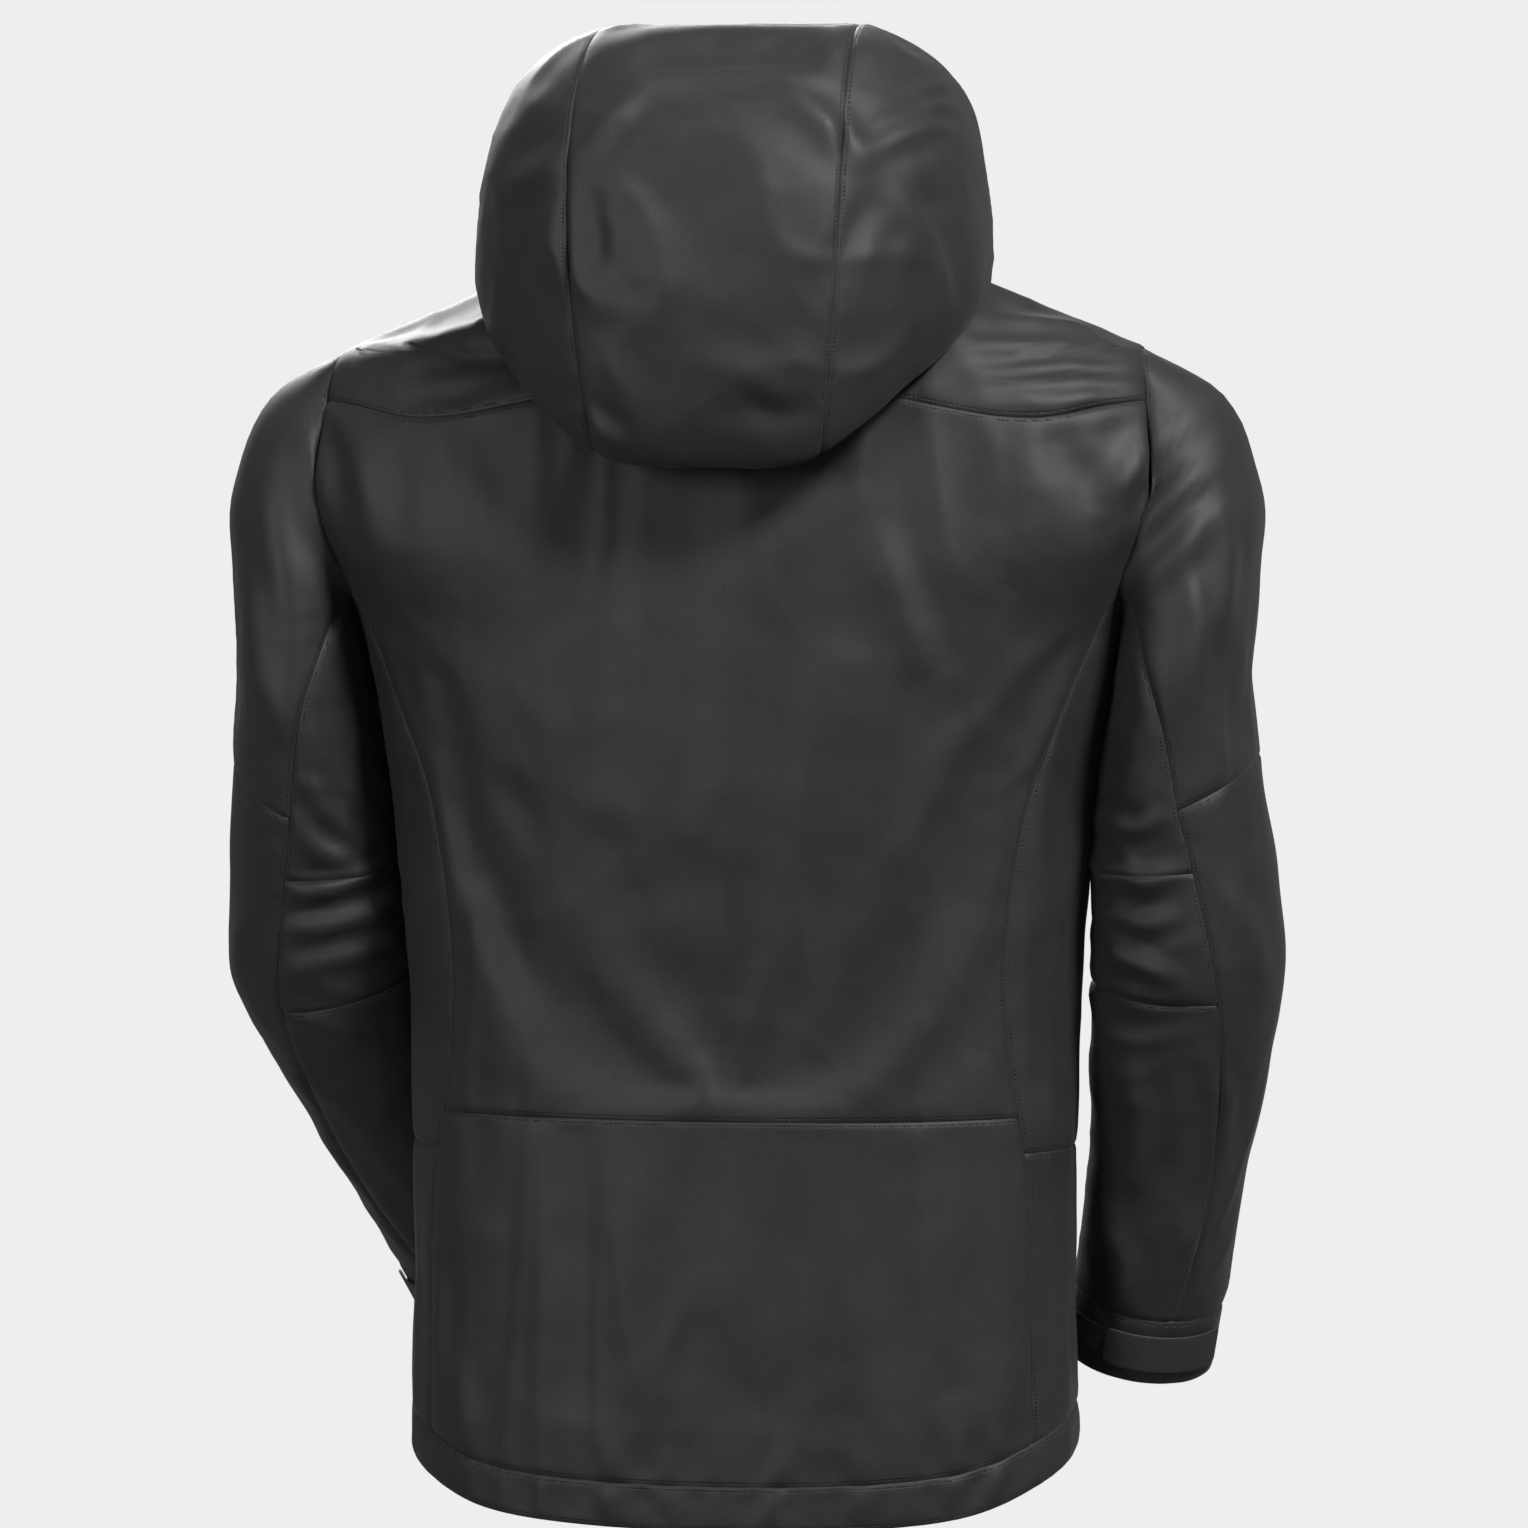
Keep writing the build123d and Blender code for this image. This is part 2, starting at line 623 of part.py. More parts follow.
# pocket bags hang behind the front panels
bag_wall = torso_solid(grow=-11.0) - torso_solid(grow=-12.2)
hand_bag = [(40.0, -420.0), (160.0, -420.0), (165.0, -690.0), (40.0, -690.0)]
save_pair("hand_pocket_bag", bag_wall & front_back_prism(hand_bag, -300, -10))

# ---------------------------------------------------------------- neck fittings
loop_wall = block(-34, 34, 62.0, 70.0, -12.0, 2.0) - block(-29, 29, 60.0, 67.4, -20.0, 6.0)
save("hanger_loop", Pos(0, 0, -4.0) * loop_wall)
save("size_label", block(-18, 18, 71.2, 71.8, -36.0, 2.0))


# ---------------------------------------------------------------- cord locks
lock_radius = 6.0
lock_length = 15.0
lock_clearance = 0.3
button_radius = 4.2
button_travel = 3.0
button_foot = -1.2
button_head = lock_length / 2 + button_travel - 0.5
lock_cord_level = -1.0


def cord_lock_housing():
    """A short barrel with a bore from the top and a cross hole for the cord."""
    bore_floor = button_foot - button_travel - lock_clearance
    body = Cylinder(lock_radius, lock_length)
    body -= Pos(0, 0, bore_floor + lock_length / 2) * Cylinder(button_radius + 0.1, lock_length)
    return body - Pos(0, 0, lock_cord_level) * Rot(0, 90, 0) * Cylinder(cord_radius + 0.5, 30)


def cord_lock_button():
    """The sprung plunger, slotted so that it can be pressed down over the cord."""
    slot = cord_radius + lock_clearance
    slot_top = lock_cord_level + slot + button_travel
    body = block(-button_radius, button_radius, -button_radius, button_radius, button_foot, button_head)
    body &= Cylinder(button_radius, 2 * button_head)
    return body - block(-lock_length, lock_length, -slot, slot, -lock_length, slot_top)


housings = {"hem_lock_housings": [], "hood_lock_housings": []}
for name, place in cord_locks:
    group = "hem_lock_housings" if "hem" in name else "hood_lock_housings"
    housings[group].append(place * cord_lock_housing())
    save(f"{name}_button", place * cord_lock_button())
for name, pair in housings.items():
    save(name, Compound(children=pair))
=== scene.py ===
import json
import math

import bmesh
import bpy
import numpy as np
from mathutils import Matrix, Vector, noise


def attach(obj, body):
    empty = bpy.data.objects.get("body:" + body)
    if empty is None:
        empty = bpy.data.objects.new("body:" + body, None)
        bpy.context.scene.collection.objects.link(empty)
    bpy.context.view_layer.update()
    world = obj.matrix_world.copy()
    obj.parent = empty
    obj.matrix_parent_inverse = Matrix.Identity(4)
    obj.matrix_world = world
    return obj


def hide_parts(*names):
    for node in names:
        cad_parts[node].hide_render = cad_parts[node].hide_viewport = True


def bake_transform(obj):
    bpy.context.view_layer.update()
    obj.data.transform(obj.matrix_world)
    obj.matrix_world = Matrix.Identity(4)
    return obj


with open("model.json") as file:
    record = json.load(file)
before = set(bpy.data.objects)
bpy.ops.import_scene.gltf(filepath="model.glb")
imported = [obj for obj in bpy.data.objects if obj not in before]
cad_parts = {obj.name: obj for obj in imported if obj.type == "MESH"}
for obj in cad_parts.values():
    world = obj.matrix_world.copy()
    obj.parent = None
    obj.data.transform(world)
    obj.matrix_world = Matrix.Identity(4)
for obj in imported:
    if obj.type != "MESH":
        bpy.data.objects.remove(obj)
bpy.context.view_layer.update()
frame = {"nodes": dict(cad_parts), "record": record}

scene = bpy.context.scene
MM = 0.001

# ------------------------------------------------------------------ sizes, in millimetres
CELL = 4.0                       # length of a mesh cell
SEAM_STEPS = [0.0, 0.8, 1.8, 3.2, 5.4]     # where the finer lines beside a seam lie
CLOTH = 0.9                      # thickness of the shell cloth, with its seam tape
STITCH_LINE = 2.6                # how far the stitching runs from a seam
ALLOWANCE = 2.6                  # how far the cloth turns in at a seam
YAW = math.radians(8.0)          # the camera stands this far round from straight behind
NECK_TOP = 12.0
HEM_BAND = 28.0
HEM_LEVEL = -770.0               # the jacket's outline is read here for the hem
ZIP_GAP = 9.0
COLLAR_TOP = 62.0
FRONT_LEAN = 0.028
NECK_FRONT = 94.0

# height, half width, depth behind, squareness behind, squareness in front
TORSO = [
    (14.0, 79.0, 73.0, 2.0, 2.0),
    (6.0, 100.0, 77.0, 2.0, 2.0),
    (0.0, 124.0, 82.0, 2.0, 2.0),
    (-16.0, 162.0, 91.0, 2.0, 2.0),
    (-33.0, 200.0, 98.0, 2.0, 2.0),
    (-46.0, 231.0, 101.0, 2.1, 2.1),
    (-58.0, 259.0, 104.0, 2.2, 2.2),
    (-90.0, 276.0, 112.0, 2.5, 2.3),
    (-134.0, 281.0, 120.0, 2.9, 2.5),
    (-180.0, 272.0, 127.0, 2.8, 2.5),
    (-225.0, 250.0, 129.0, 2.4, 2.3),
    (-270.0, 238.0, 128.0, 2.3, 2.2),
    (-320.0, 229.0, 126.0, 2.2, 2.1),
    (-400.0, 221.0, 121.0, 2.2, 2.0),
    (-474.0, 216.0, 118.0, 2.2, 2.0),
    (-550.0, 214.0, 118.0, 2.2, 2.0),
    (-620.0, 213.0, 121.0, 2.2, 2.0),
    (-672.0, 213.5, 124.0, 2.2, 2.0),
    (-730.0, 215.0, 125.5, 2.2, 2.0),
    (-810.0, 216.0, 127.0, 2.2, 2.0),
]
PIT_LINE = -206.0                # the armhole's lowest height behind and in front
ARMPIT = -226.0                  # its lowest point, under the arm
# height and half width where the armhole seam runs
ARMHOLE = [(-56.0, 256.5), (-72.0, 259.5), (-90.0, 261.5), (-122.0, 264.5), (-154.0, 264.5),
           (-190.0, 259.0), (PIT_LINE, 254.5)]

# seams on the back, as distance from the middle and height
YOKE = [(0.0, -72.0), (100.0, -86.0), (195.0, -100.0), (240.0, -92.0), (300.0, -86.0)]
PRINCESS = [(PIT_LINE, 254.5), (-218.0, 241.0), (-238.0, 231.0), (-294.0, 208.0), (-320.0, 197.0),
            (-378.0, 183.0), (-450.0, 176.0), (-506.0, 179.0), (-540.0, 184.0), (-565.0, 188.0),
            (-700.0, 192.0), (-830.0, 194.0)]
FRONT_SEAM = [(PIT_LINE, 254.5), (-222.0, 236.0), (-250.0, 216.0), (-300.0, 196.0),
              (-540.0, 190.0), (-830.0, 194.0)]
WAIST = -540.0
SIDE_WAIST = -563.0
FRONT_YOKE = -165.0
YOKE_LOW = -84.0                 # the back yoke's rows are spaced down to here
SIDES = ((1, "left"), (-1, "right"))

# each sleeve's sections: middle x, y, z, half width outwards, half width to the back
LEFT_SLEEVE = [
    (268.0, 0.0, -158.0, 80.0, 70.0),
    (278.0, -1.0, -180.0, 63.0, 76.0),
    (284.5, -2.0, -211.0, 46.0, 82.0),
    (283.0, -4.0, -262.0, 45.0, 86.0),
    (281.0, -10.0, -320.0, 52.0, 80.0),
    (279.5, -20.0, -385.0, 59.5, 71.0),
    (277.0, -31.0, -448.0, 65.0, 63.0),
    (262.0, -62.0, -497.0, 61.0, 60.0),
    (247.0, -94.0, -545.0, 55.0, 57.0),
    (229.0, -126.0, -594.0, 52.5, 54.0),
    (211.0, -157.0, -643.0, 50.0, 52.0),
    (199.0, -178.0, -676.0, 49.5, 50.5),
]
RIGHT_SLEEVE = [
    (268.0, 0.0, -158.0, 80.0, 70.0),
    (278.0, -1.0, -180.0, 63.0, 76.0),
    (284.5, -2.0, -211.0, 46.0, 82.0),
    (281.5, -2.0, -262.0, 43.5, 86.0),
    (280.0, -3.0, -320.0, 51.0, 80.0),
    (282.5, -2.0, -385.0, 59.5, 71.0),
    (285.0, -4.0, -448.0, 61.0, 63.0),
    (279.0, -18.0, -506.0, 57.0, 60.0),
    (272.0, -32.0, -560.0, 52.0, 56.0),
    (264.0, -45.0, -612.0, 49.5, 54.0),
    (256.0, -58.0, -660.0, 49.0, 52.0),
    (248.0, -70.0, -705.0, 49.0, 51.0),
]
SECTION_TILT = [28.0, 55.0, 76.0]          # the first sections turn from upright to level

# the hood: arcs from the middle of the back round to the front edge, one for each level
HOOD = [
    [(0, 72, 13), (45, 62, 11), (79, 20, 7), (80, -30, 3), (60, -66, 1), (38, -86, 2)],
    [(0, 114, -66), (62, 108, -62), (115, 72, -13), (127, 0, 6), (100, -66, 9), (42, -90, 12)],
    [(0, 158, -129), (69, 150, -122), (129, 98, -64), (150, 10, -20), (118, -72, 5), (50, -96, 22)],
    [(0, 183, -90), (76, 173, -86), (143, 105, -50), (157, 10, -12), (122, -76, 15), (58, -99, 31)],
    [(0, 191, -8), (83, 179, -6), (151, 105, 0), (159, 5, 6), (124, -79, 27), (63, -101, 39)],
    [(0, 177, 74), (85, 165, 72), (147, 96, 60), (156, -2, 44), (122, -83, 39), (67, -102, 46)],
    [(0, 124, 132), (83, 114, 127), (137, 60, 107), (149, -16, 76), (119, -87, 51), (71, -102, 52)],
    [(0, 46, 153), (80, 39, 147), (124, 6, 126), (138, -42, 92), (116, -91, 60), (75, -102, 57)],
    [(0, -42, 146), (74, -45, 138), (112, -60, 117), (125, -74, 92), (112, -94, 66),
     (78, -102, 61)],
    [(0, -92, 128), (66, -91, 120), (99, -89, 102), (113, -91, 82), (107, -97, 68), (81, -102, 63)],
]


# ------------------------------------------------------------------ curves and surfaces
def smooth(keys, rows, at):
    """Rows of numbers at the given keys, joined by smooth curves and read at the places in at."""
    keys = np.asarray(keys, float)
    rows = np.asarray(rows, float)
    if keys[0] > keys[-1]:
        keys, rows = keys[::-1], rows[::-1]
    slope = np.gradient(rows, keys, axis=0)
    at = np.clip(np.asarray(at, float), keys[0], keys[-1])
    low = np.clip(np.searchsorted(keys, at, side="right") - 1, 0, len(keys) - 2)
    step = keys[low + 1] - keys[low]
    t = (at - keys[low]) / step
    if rows.ndim > 1:
        t, step = t[..., None], step[..., None]
    h00 = 2 * t ** 3 - 3 * t ** 2 + 1
    h10 = t ** 3 - 2 * t ** 2 + t
    h01 = 3 * t ** 2 - 2 * t ** 3
    h11 = t ** 3 - t ** 2
    return (h00 * rows[low] + h10 * step * slope[low] + h01 * rows[low + 1]
            + h11 * step * slope[low + 1])


def torso_row(z):
    """The torso's half width, depth behind and squarenesses at height z."""
    return smooth([row[0] for row in TORSO], [row[1:] for row in TORSO], z)


def torso_point(angle, z):
    """The torso's surface: angle 0 is the wearer's left, a quarter turn is the back."""
    angle, z = np.broadcast_arrays(np.asarray(angle, float), np.asarray(z, float))
    row = torso_row(z)
    c, s = np.cos(angle), np.sin(angle)
    back = s > 0
    depth = np.where(back, row[..., 1], NECK_FRONT - FRONT_LEAN * z)
    power = np.where(back, row[..., 2], row[..., 3])
    size = (np.abs(c / row[..., 0]) ** power + np.abs(s / depth) ** power) ** (-1 / power)
    return np.stack([size * c, size * s, z], axis=-1)


def back_angle(x, z):
    """The angle of the point on the back at this distance from the middle."""
    row = torso_row(np.asarray(z, float))
    share = np.clip(np.abs(x) / row[..., 0], 0, 1)
    y = row[..., 1] * (1 - share ** row[..., 2]) ** (1 / row[..., 2])
    return np.arctan2(y, x)


def front_angle(x, z):
    """The angle of the point on the front at this distance from the middle, below zero."""
    z = np.asarray(z, float)
    row = torso_row(z)
    depth = NECK_FRONT - FRONT_LEAN * z
    share = np.clip(np.abs(x) / row[..., 0], 0, 1)
    y = depth * (1 - share ** row[..., 3]) ** (1 / row[..., 3])
    return -np.arctan2(y, x)


def distances(points):
    """How far along a line each of its points lies."""
    steps = np.linalg.norm(np.diff(points, axis=0), axis=1)
    return np.concatenate([[0], np.cumsum(steps)])


def resample(points, count, closed=False):
    """The same line with evenly spaced points."""
    points = np.asarray(points, float)
    if closed:
        points = np.vstack([points, points[:1]])
    along = distances(points)
    wanted = np.linspace(0, along[-1], count + 1 if closed else count)
    if closed:
        wanted = wanted[:-1]
    return np.stack([np.interp(wanted, along, points[:, k]) for k in range(3)], axis=1)


def spaced(length, cell=CELL, first=True, last=True):
    """Shares from 0 to 1 along a length, with finer steps beside an edge that is a seam."""
    start = SEAM_STEPS if first else [0.0, cell]
    end = [length - step for step in (SEAM_STEPS if last else [0.0, cell])][::-1]
    count = max(1, round((end[0] - start[-1]) / cell))
    middle = np.linspace(start[-1], end[0], count + 1)[1:-1]
    return np.concatenate([start, middle, end]) / length


def normals(grid):
    """A grid's normals, by the lines through each point."""
    across = np.gradient(grid, axis=1)
    along = np.gradient(grid, axis=0)
    n = np.cross(across, along)
    size = np.linalg.norm(n, axis=-1, keepdims=True)
    return n / np.maximum(size, 1e-9)


# ------------------------------------------------------------------ folds
def camera_plane(points):
    """Where points stand in the upright plane that faces the camera: across and up."""
    across = points[..., 0] * math.cos(YAW) + points[..., 1] * math.sin(YAW)
    return np.stack([across, points[..., 2]], axis=-1)


def stroke_shape(flat, path, width, height):
    """A ridge along a path, tapered at its ends, with a shallow valley on each side."""
    path = np.asarray(path, float)
    best = np.full(flat.shape[:-1], 1e9)
    side = np.zeros_like(best)
    where = np.zeros_like(best)
    lengths = np.linalg.norm(np.diff(path, axis=0), axis=1)
    total = lengths.sum()
    done = 0.0
    for (a, b), length in zip(zip(path, path[1:]), lengths):
        line = (b - a) / length
        rel = flat - a
        t = np.clip(rel @ line, 0, length)
        off = rel - t[..., None] * line
        distance = np.linalg.norm(off, axis=-1)
        nearer = distance < best
        best = np.where(nearer, distance, best)
        signed = off[..., 0] * line[1] - off[..., 1] * line[0]
        side = np.where(nearer, np.sign(signed) * distance, side)
        where = np.where(nearer, (done + t) / total, where)
        done += length
    taper = np.sin(np.pi * np.clip(where, 0.02, 0.98)) ** 0.7
    d = side / width
    ridge = np.exp(-np.sqrt(d ** 2 + 0.04) ** 1.5) - 0.5 * np.exp(-((d - 1.6) / 0.9) ** 2)
    ridge -= 0.3 * np.exp(-((d + 1.7) / 0.9) ** 2)
    return height * ridge * taper


# folds seen from behind: path as (across, up), width and height of the ridge
BACK_FOLDS = [
    # hood crown and sides
    ([(96, 100), (40, 110), (-20, 112), (-66, 104)], 7, 2.6),
    ([(60, 96), (20, 90), (-30, 94)], 9, 2.0),
    ([(62, 97), (82, 84), (96, 62)], 7, 3.6),
    ([(96, 64), (120, 54), (146, 36)], 9, 3.4),
    ([(98, 44), (90, 10), (96, -26)], 8, -2.6),
    ([(-20, 100), (-44, 84), (-66, 66), (-82, 48)], 10, 5.0),
    ([(-74, 60), (-96, 72), (-122, 80)], 7, 4.0),
    ([(-80, 36), (-66, 12), (-52, -24)], 9, -3.6),
    ([(-86, 44), (-104, 18), (-108, -12)], 10, 3.2),
    ([(-114, 22), (-122, -8), (-126, -40)], 6, 3.0),
    ([(-100, 98), (-118, 106), (-134, 108)], 4, 2.2),
    ([(-104, 88), (-122, 94), (-138, 92)], 4, 2.0),
    ([(-100, 78), (-116, 80), (-134, 76)], 5, 1.8),
    ([(124, 16), (102, -14), (82, -44)], 11, 3.4),
    ([(108, 60), (112, 20), (104, -10)], 12, 2.4),
    ([(104, -94), (90, -106), (76, -118)], 6, 2.6),
    ([(6, -92), (-22, -100), (-48, -94)], 9, -3.0),
    ([(66, 46), (30, 24), (6, -26)], 22, -2.6),
    ([(40, -60), (-10, -76), (-44, -66)], 12, 2.4),
    ([(84, -60), (70, -84), (60, -110)], 9, 2.2),
    # right shoulder and yoke
    ([(-150, -36), (-196, -42), (-254, -50)], 6, 4.6),
    ([(-138, -58), (-196, -54), (-256, -62)], 5, 3.6),
    ([(-142, -76), (-200, -70), (-254, -72)], 6, 4.0),
    ([(-150, -92), (-196, -88), (-240, -86)], 7, 2.6),
    ([(-178, -102), (-215, -95), (-258, -92)], 9, 3.4),
    ([(-260, -94), (-244, -122), (-224, -156)], 9, 5.0),
    ([(-186, -108), (-208, -132), (-222, -162)], 12, -4.0),
    # left shoulder
    ([(146, -44), (200, -60), (250, -72)], 9, 2.8),
    ([(150, -64), (196, -78), (240, -84)], 7, 2.0),
    ([(246, -94), (238, -134), (234, -186)], 11, 3.0),
    # right sleeve head
    ([(-290, -92), (-258, -118), (-238, -144), (-232, -182)], 8, 5.6),
    ([(-300, -126), (-268, -148), (-238, -180)], 8, 5.2),
    ([(-296, -150), (-276, -178), (-246, -212)], 9, 4.0),
    ([(-298, -150), (-304, -190), (-298, -236)], 7, 3.2),
    ([(-274, -184), (-284, -228), (-280, -272)], 8, 3.0),
    ([(-312, -220), (-316, -270), (-322, -320)], 9, 2.4),
    ([(-290, -270), (-296, -310), (-288, -350)], 11, 2.4),
    # left sleeve head
    ([(288, -96), (270, -132), (262, -176)], 9, 4.2),
    ([(302, -140), (292, -190), (280, -236)], 10, 3.8),
    ([(276, -190), (262, -226), (254, -262)], 9, 3.4),
    ([(316, -200), (312, -250), (304, -292)], 9, 2.6),
    ([(300, -262), (286, -300), (270, -326)], 10, 2.6),
    # torso
    ([(150, -120), (126, -240), (112, -380), (118, -500)], 20, 3.2),
    ([(64, -150), (58, -300), (66, -480)], 17, 2.8),
    ([(14, -210), (0, -340), (8, -500)], 20, 3.0),
    ([(-60, -190), (-44, -300), (-30, -410), (6, -524)], 14, 3.8),
    ([(-78, -160), (-92, -205), (-112, -262)], 13, 4.4),
    ([(-100, -230), (-96, -330), (-112, -450)], 16, 3.0),
    ([(-150, -190), (-158, -260), (-152, -350)], 13, 3.0),
    ([(150, -250), (160, -330), (150, -420)], 13, 2.6),
    ([(204, -236), (190, -320), (182, -410)], 9, 2.4),
    ([(-198, -246), (-186, -330), (-184, -420)], 9, 2.6),
    ([(-150, -400), (-120, -470), (-70, -530)], 16, 2.8),
    ([(96, -400), (60, -470), (22, -530)], 15, 2.4),
    ([(66, -556), (74, -640), (62, -730)], 17, 2.4),
    ([(126, -560), (120, -640), (130, -730)], 15, 2.2),
    ([(-66, -556), (-58, -640), (-74, -730)], 18, 2.4),
    ([(-130, -560), (-122, -640), (-134, -710)], 16, 2.0),
    ([(-6, -560), (4, -640), (-10, -720)], 18, 1.8),
    ([(-12, -796), (-20, -770), (-26, -736)], 7, 3.0),
    ([(180, -766), (176, -740), (180, -690)], 9, 2.6),
    ([(88, -790), (80, -765), (84, -736)], 9, 2.2),
    ([(40, -792), (50, -768), (46, -740)], 9, 2.2),
    ([(-70, -792), (-76, -768), (-70, -740)], 9, 2.0),
    ([(-126, -786), (-134, -758), (-130, -724)], 9, 2.8),
    ([(-154, -784), (-160, -755), (-154, -728)], 7, 2.2),
    ([(200, -600), (197, -660), (192, -745)], 7, 2.8),
    ([(-206, -610), (-202, -680), (-198, -740)], 8, 2.6),
    # left sleeve, inside of the elbow and forearm
    ([(282, -322), (264, -356), (244, -372)], 7, 4.6),
    ([(290, -352), (268, -378), (240, -392)], 7, 4.4),
    ([(298, -404), (264, -402), (224, -386)], 7, 5.2),
    ([(298, -430), (262, -424), (220, -412)], 7, 4.8),
    ([(296, -456), (256, -446), (220, -438)], 7, 4.0),
    ([(298, -484), (272, -492), (244, -506)], 8, 3.4),
    ([(316, -410), (326, -436), (328, -468)], 7, 2.6),
    ([(302, -520), (282, -538), (260, -544)], 9, 2.8),
    ([(280, -560), (264, -592), (240, -616)], 9, 2.6),
    ([(246, -604), (232, -634), (220, -662)], 8, 2.4),
    # right sleeve, inside of the elbow and forearm
    ([(-222, -350), (-242, -358), (-262, -352)], 6, 3.8),
    ([(-224, -384), (-250, -392), (-274, -382)], 7, 4.2),
    ([(-226, -412), (-250, -418), (-276, -412)], 6, 3.6),
    ([(-228, -436), (-250, -444), (-280, -456)], 7, 4.6),
    ([(-230, -464), (-256, -468), (-290, -462)], 7, 3.8),
    ([(-300, -390), (-320, -426), (-328, -462)], 8, 3.0),
    ([(-286, -490), (-302, -530), (-302, -580)], 8, 3.0),
    ([(-240, -500), (-252, -545), (-250, -596)], 9, 3.2),
    ([(-270, -520), (-276, -570), (-270, -620)], 10, 2.2),
    ([(-304, -590), (-288, -620), (-282, -662)], 8, 2.6),
    ([(-230, -610), (-244, -640), (-246, -684)], 8, 2.6),
]

# folds on the front, seen from the front as (x, z)
FRONT_FOLDS = [
    ([(200, -60), (140, -90), (90, -140)], 14, 2.4),
    ([(-205, -60), (-150, -95), (-95, -150)], 14, 2.6),
    ([(230, -190), (180, -220), (120, -230)], 14, 2.6),
    ([(-228, -186), (-175, -222), (-110, -228)], 13, 2.8),
    ([(60, -200), (66, -320), (58, -420)], 20, 1.8),
    ([(-70, -190), (-62, -300), (-72, -430)], 20, 1.8),
    ([(180, -300), (170, -400), (176, -520)], 16, 2.0),
    ([(-178, -290), (-172, -400), (-180, -530)], 16, 2.2),
    ([(100, -600), (96, -660), (104, -730)], 14, 1.8),
    ([(-96, -610), (-104, -670), (-98, -735)], 14, 1.8),
    ([(40, -560), (46, -640), (40, -720)], 14, 1.4),
    ([(-44, -540), (-38, -620), (-46, -710)], 14, 1.4),
    ([(300, -110), (285, -150), (272, -200)], 12, 3.2),
    ([(-300, -110), (-286, -150), (-270, -200)], 12, 3.2),
    ([(316, -190), (306, -240), (300, -300)], 11, 2.4),
    ([(-316, -190), (-306, -240), (-298, -300)], 11, 2.4),
    ([(320, -380), (285, -400), (245, -392)], 10, 4.2),
    ([(325, -410), (288, -432), (244, -425)], 9, 4.6),
    ([(322, -450), (280, -468), (238, -455)], 10, 4.2),
    ([(300, -490), (262, -512), (226, -500)], 10, 3.2),
    ([(270, -550), (238, -566), (205, -560)], 10, 2.4),
    ([(-330, -390), (-290, -408), (-245, -398)], 10, 3.6),
    ([(-335, -430), (-292, -446), (-244, -436)], 9, 4.0),
    ([(-330, -470), (-285, -482), (-240, -470)], 10, 3.4),
    ([(-310, -530), (-275, -545), (-240, -535)], 11, 2.4),
    ([(-296, -600), (-265, -612), (-232, -604)], 10, 2.0),
]


ELBOW_HEIGHT = -425.0
POCKET_X = 138.0                 # the pocket zips' distance from the middle
POCKET_Z = -512.0                # the height of their middle
POCKET_HALF = 88.0               # half their length
NO_FOLD = 9.0                    # folds fade out within this distance of a seam


def wander(points, size, seed):
    """Smooth noise from -1 to 1 at each point, with bumps about size millimetres across."""
    flat = points.reshape(-1, 3) / np.array(size) + seed * 7.3
    return np.array([noise.noise(Vector(p)) for p in flat]).reshape(points.shape[:-1])


def crumple(points, size, seed):
    """Crisp lines where flat facets of stiff cloth meet, from 0 between them to 1 on them."""
    return np.clip(1.0 - np.abs(wander(points, size, seed)) / 0.3, 0, 1) ** 1.5


def beside_zips(points):
    """0 on the pocket zips, where the cloth lies flat, and 1 away from them."""
    across = np.abs(points[..., 0]) - POCKET_X
    along = np.maximum(np.abs(points[..., 2] - POCKET_Z) - POCKET_HALF, 0)
    near = np.exp(-(across ** 2 + along ** 2) / 18.0 ** 2)
    return 1.0 - near * (points[..., 1] < 0)


def folds(points, n, strength, looseness):
    """How far the cloth stands out at each point, for torso, hood or sleeve by its looseness."""
    out = np.zeros(points.shape[:-1])
    for drawn, flat, outward in ((BACK_FOLDS, camera_plane(points), n[..., 1]),
                                 (FRONT_FOLDS, points[..., [0, 2]], -n[..., 1])):
        facing = np.clip((outward + 0.05) / 0.35, 0, 1)
        if facing.max() > 0:
            for path, width, height in drawn:
                out += facing * stroke_shape(flat, path, width, height)
    out += 1.5 * wander(points, 60.0, 1) + 0.5 * wander(points, 26.0, 2)
    if looseness < 0.5:
        out += 1.3 * crumple(points, (42.0, 42.0, 330.0), 4) + 0.6 * crumple(points, 95.0, 5)
    elif looseness < 0.9:
        out += 1.6 * crumple(points, (95.0, 95.0, 70.0), 6) + 0.5 * crumple(points, 40.0, 7)
    else:
        elbow = np.exp(-((points[..., 2] - ELBOW_HEIGHT) / 75.0) ** 2)
        inner = np.clip(0.55 - n[..., 0] * np.sign(points[..., 0]), 0, 1)
        out += (0.5 + 2.8 * elbow) * inner * crumple(points, (75.0, 75.0, 30.0), 8)
        out += 1.3 * (1.0 - elbow) * crumple(points, (40.0, 40.0, 140.0), 9)
    return out * strength * beside_zips(points)


# ------------------------------------------------------------------ meshes
def edge_distance(grid):
    """Each point's distances along the grid to its top, bottom, left and right edges."""
    rows = np.linalg.norm(np.diff(grid, axis=0), axis=-1)
    columns = np.linalg.norm(np.diff(grid, axis=1), axis=-1)
    down = np.vstack([np.zeros((1, grid.shape[1])), np.cumsum(rows, axis=0)])
    right = np.hstack([np.zeros((grid.shape[0], 1)), np.cumsum(columns, axis=1)])
    return down, down[-1:] - down, right, right[:, -1:] - right


def groove(distance, depth=0.9, width=1.8):
    """A seam's rounded edge: the cloth turns in towards the stitching."""
    return -depth * np.exp(-(distance / width) ** 2)


